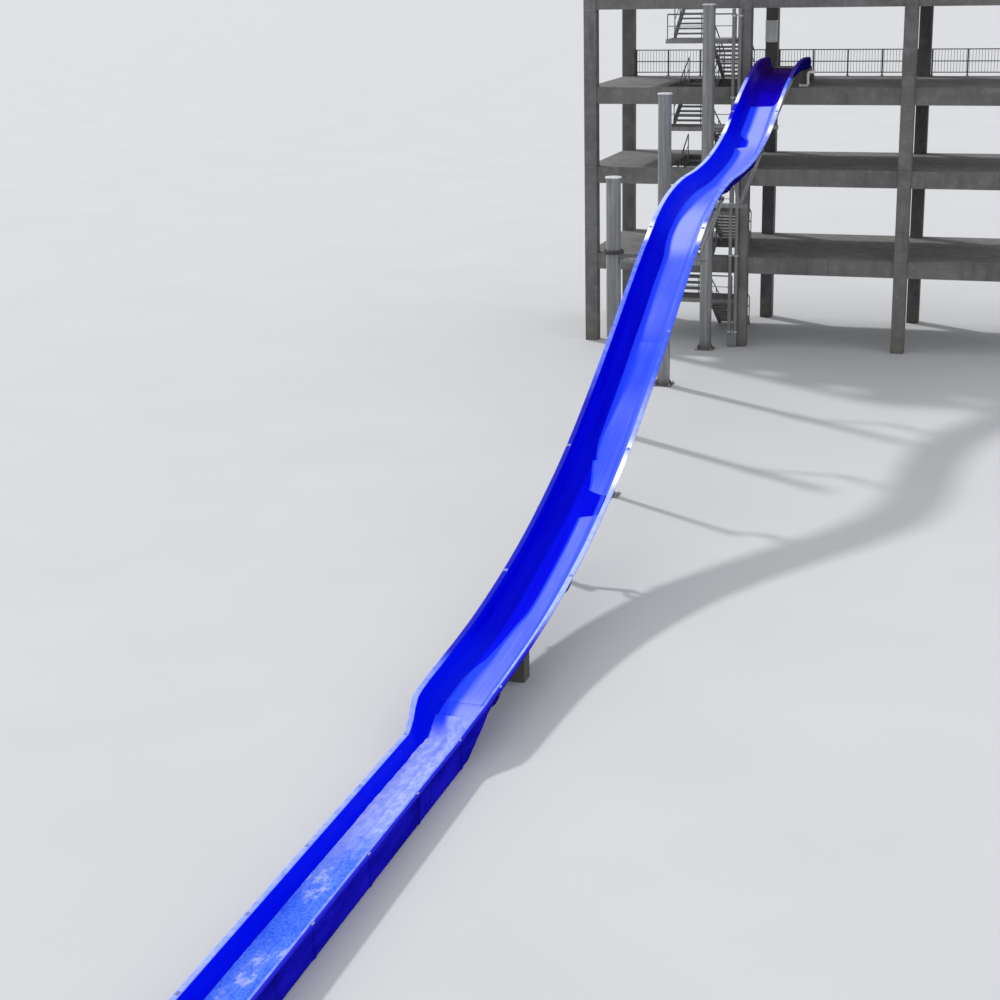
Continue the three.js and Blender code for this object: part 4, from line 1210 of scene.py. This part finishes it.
# Twin rainwater pipes with sockets every 3 m and saddle clamps.
rain, clamps = Solid(), Solid()
rain_radius = RAIN_PIPE["radius"]
pipe_y = COLUMN_Y[0] - COLUMN / 2 - rain_radius - 0.03
pipe_top = LEVELS[3] - BEAM_DEPTH
pipe_xs = [COLUMN_X[1] + offset for offset in RAIN_PIPE["offsets"]]
socket_zs = [2.4 + RAIN_PIPE["socket_step"] * k for k in range(4)]
clamp_zs = [0.6 + RAIN_PIPE["clamp_step"] * k for k in range(5)]
for x in pipe_xs:
    profile = [(0.0, rain_radius)]
    for z in socket_zs:
        wide = rain_radius + 0.01
        profile += [(z, rain_radius), (z + 0.004, wide), (z + 0.12, wide), (z + 0.124, rain_radius)]
    profile.append((pipe_top - 0.001, rain_radius))
    rain.lathe((x, pipe_y, 0), UP, profile, 28)
band = mirrored([(0, rain_radius - 0.002), (0, rain_radius + 0.008)], RAIN_PIPE["clamp"])
plate_x0, plate_x1 = pipe_xs[0] - 0.1, pipe_xs[1] + 0.1
for z in (z for z in clamp_zs if z < pipe_top):
    for x in pipe_xs:
        clamps.lathe((x, pipe_y, z), UP, band, 28)
    clamps.box((plate_x0, pipe_y + 0.04, z), (plate_x1, -SEAT, z + RAIN_PIPE["clamp"]))
    for x in (plate_x0 + 0.025, (plate_x0 + plate_x1) / 2, plate_x1 - 0.025):
        clamps.bolt((x, pipe_y + 0.04, z + RAIN_PIPE["clamp"] / 2), (0, -1, 0), 0.022, 0.012)
rain_made = rain.piece("rain_pipe_pair", "downpipe")
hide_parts("rain_pipes")
clamps.piece("rain_pipe_clamps", "bolt")

# Control box: a case with a rain hood, a door with hinges and a latch, and glands below.
box_x, box_y = COLUMN_X[1], COLUMN_Y[1] - COLUMN / 2 - SEAT / 2
box_z0, box_z1 = deck + CONTROL["bottom"], deck + CONTROL["top"]
half, deep = CONTROL["half"], CONTROL["deep"]
case, fittings = Solid(), Solid()
body = half - 0.01
case.box((box_x - body, box_y - deep + 0.025, box_z0 + 0.01), (box_x + body, box_y, box_z1 - 0.03))
case.box((box_x - half, box_y - deep, box_z1 - 0.03), (box_x + half, box_y, box_z1))
door = half - 0.025
door_y = box_y - deep + 0.01
case.box((box_x - door, door_y, box_z0 + 0.03), (box_x + door, door_y + 0.013, box_z1 - 0.05))
hinge_x, hinge_y = box_x - half + 0.018, box_y - deep + 0.012
for z in (box_z0 + 0.15, box_z1 - 0.2):
    fittings.rod((hinge_x, hinge_y, z), (hinge_x, hinge_y, z + 0.08), 0.009, 12)
latch = Vector((box_x + door - 0.04, door_y, (box_z0 + box_z1) / 2))
fittings.lathe(latch, (0, -1, 0), [(0, 0.022), (0.008, 0.02), (0.01, 0.006)], 20)
fittings.box(latch - Vector((0.007, 0.01, 0.03)), latch + Vector((0.007, 0, 0.03)))
for dx in (-0.12, 0.0, 0.12):
    gland = (box_x + dx, box_y - deep / 2, box_z0 + 0.01)
    fittings.lathe(gland, (0, 0, -1), [(0, 0.024), (0.01, 0.024), (0.01, 0.016)], 16)
case_made = case.piece("control_case", "case", bevel=0.004)
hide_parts("control_box")
fittings.piece("control_case_fittings", "bolt")

# Worn strips on the launch platform's steps.
steps = Solid()
platform_top = underside(FLUME_JOINTS[0])[0] + 0.05
rise = (platform_top - deck) / PLATFORM["steps"]
strip_half = PLATFORM["half"] - 0.1
for i in range(PLATFORM["steps"]):
    y = PLATFORM["back"] + PLATFORM["going"] * i
    z = platform_top - rise * i
    steps.box((-strip_half, y - 0.07, z - 0.02), (strip_half, y - 0.015, z + 0.004))
steps.piece("platform_nosings", "bolt", bevel=0.001)

# Plain pale floor, a soft sun over the slide's left shoulder and even fill light.
FLOOR_REACH = 400.0
floor_mesh = bpy.data.meshes.new("studio_floor")
floor_corners = [(x * FLOOR_REACH, y * FLOOR_REACH, 0) for x, y in ((-1, -1), (1, -1), (1, 1), (-1, 1))]
floor_mesh.from_pydata(floor_corners, [], [(0, 1, 2, 3)])
floor_mesh.materials.append(plain_floor())
studio_floor = new_object("studio_floor", floor_mesh)

world = bpy.data.worlds.new("studio")
world.use_nodes = True
background = world.node_tree.nodes["Background"]
background.inputs["Color"].default_value = SKY["colour"]
background.inputs["Strength"].default_value = SKY["strength"]
bpy.context.scene.world = world

lamp = bpy.data.lights.new("soft_sun", "SUN")
lamp.energy = SUN["strength"]
lamp.angle = math.radians(SUN["width"])
sun = new_object("soft_sun", lamp)
sun.rotation_mode = "QUATERNION"
sun.rotation_quaternion = Vector(SUN["from"]).to_track_quat("Z", "Y")


def place_camera():
    """The photograph's camera: it looks down along the slide, turned a little to the left."""
    down, roll = math.radians(CAMERA["down"]), math.radians(CAMERA["roll"])
    turn = Matrix.Rotation(math.radians(CAMERA["turn"]), 3, "Z")
    forward = turn @ Vector((0, math.cos(down), -math.sin(down)))
    level = turn @ Vector((1, 0, 0))
    below = forward.cross(level)
    right = level * math.cos(roll) + below * math.sin(roll)
    up = level * math.sin(roll) - below * math.cos(roll)
    data = bpy.data.cameras.new("camera")
    data.sensor_width = 36
    data.lens = CAMERA["focal_px"] / CAMERA["image_px"] * data.sensor_width
    data.clip_end = 500
    camera = new_object("camera", data)
    axes = Matrix((right, up, -forward)).transposed().to_4x4()
    camera.matrix_world = Matrix.Translation(at(*CAMERA["place"])) @ axes
    bpy.context.scene.camera = camera


place_camera()
bpy.context.scene.view_settings.view_transform = "Standard"
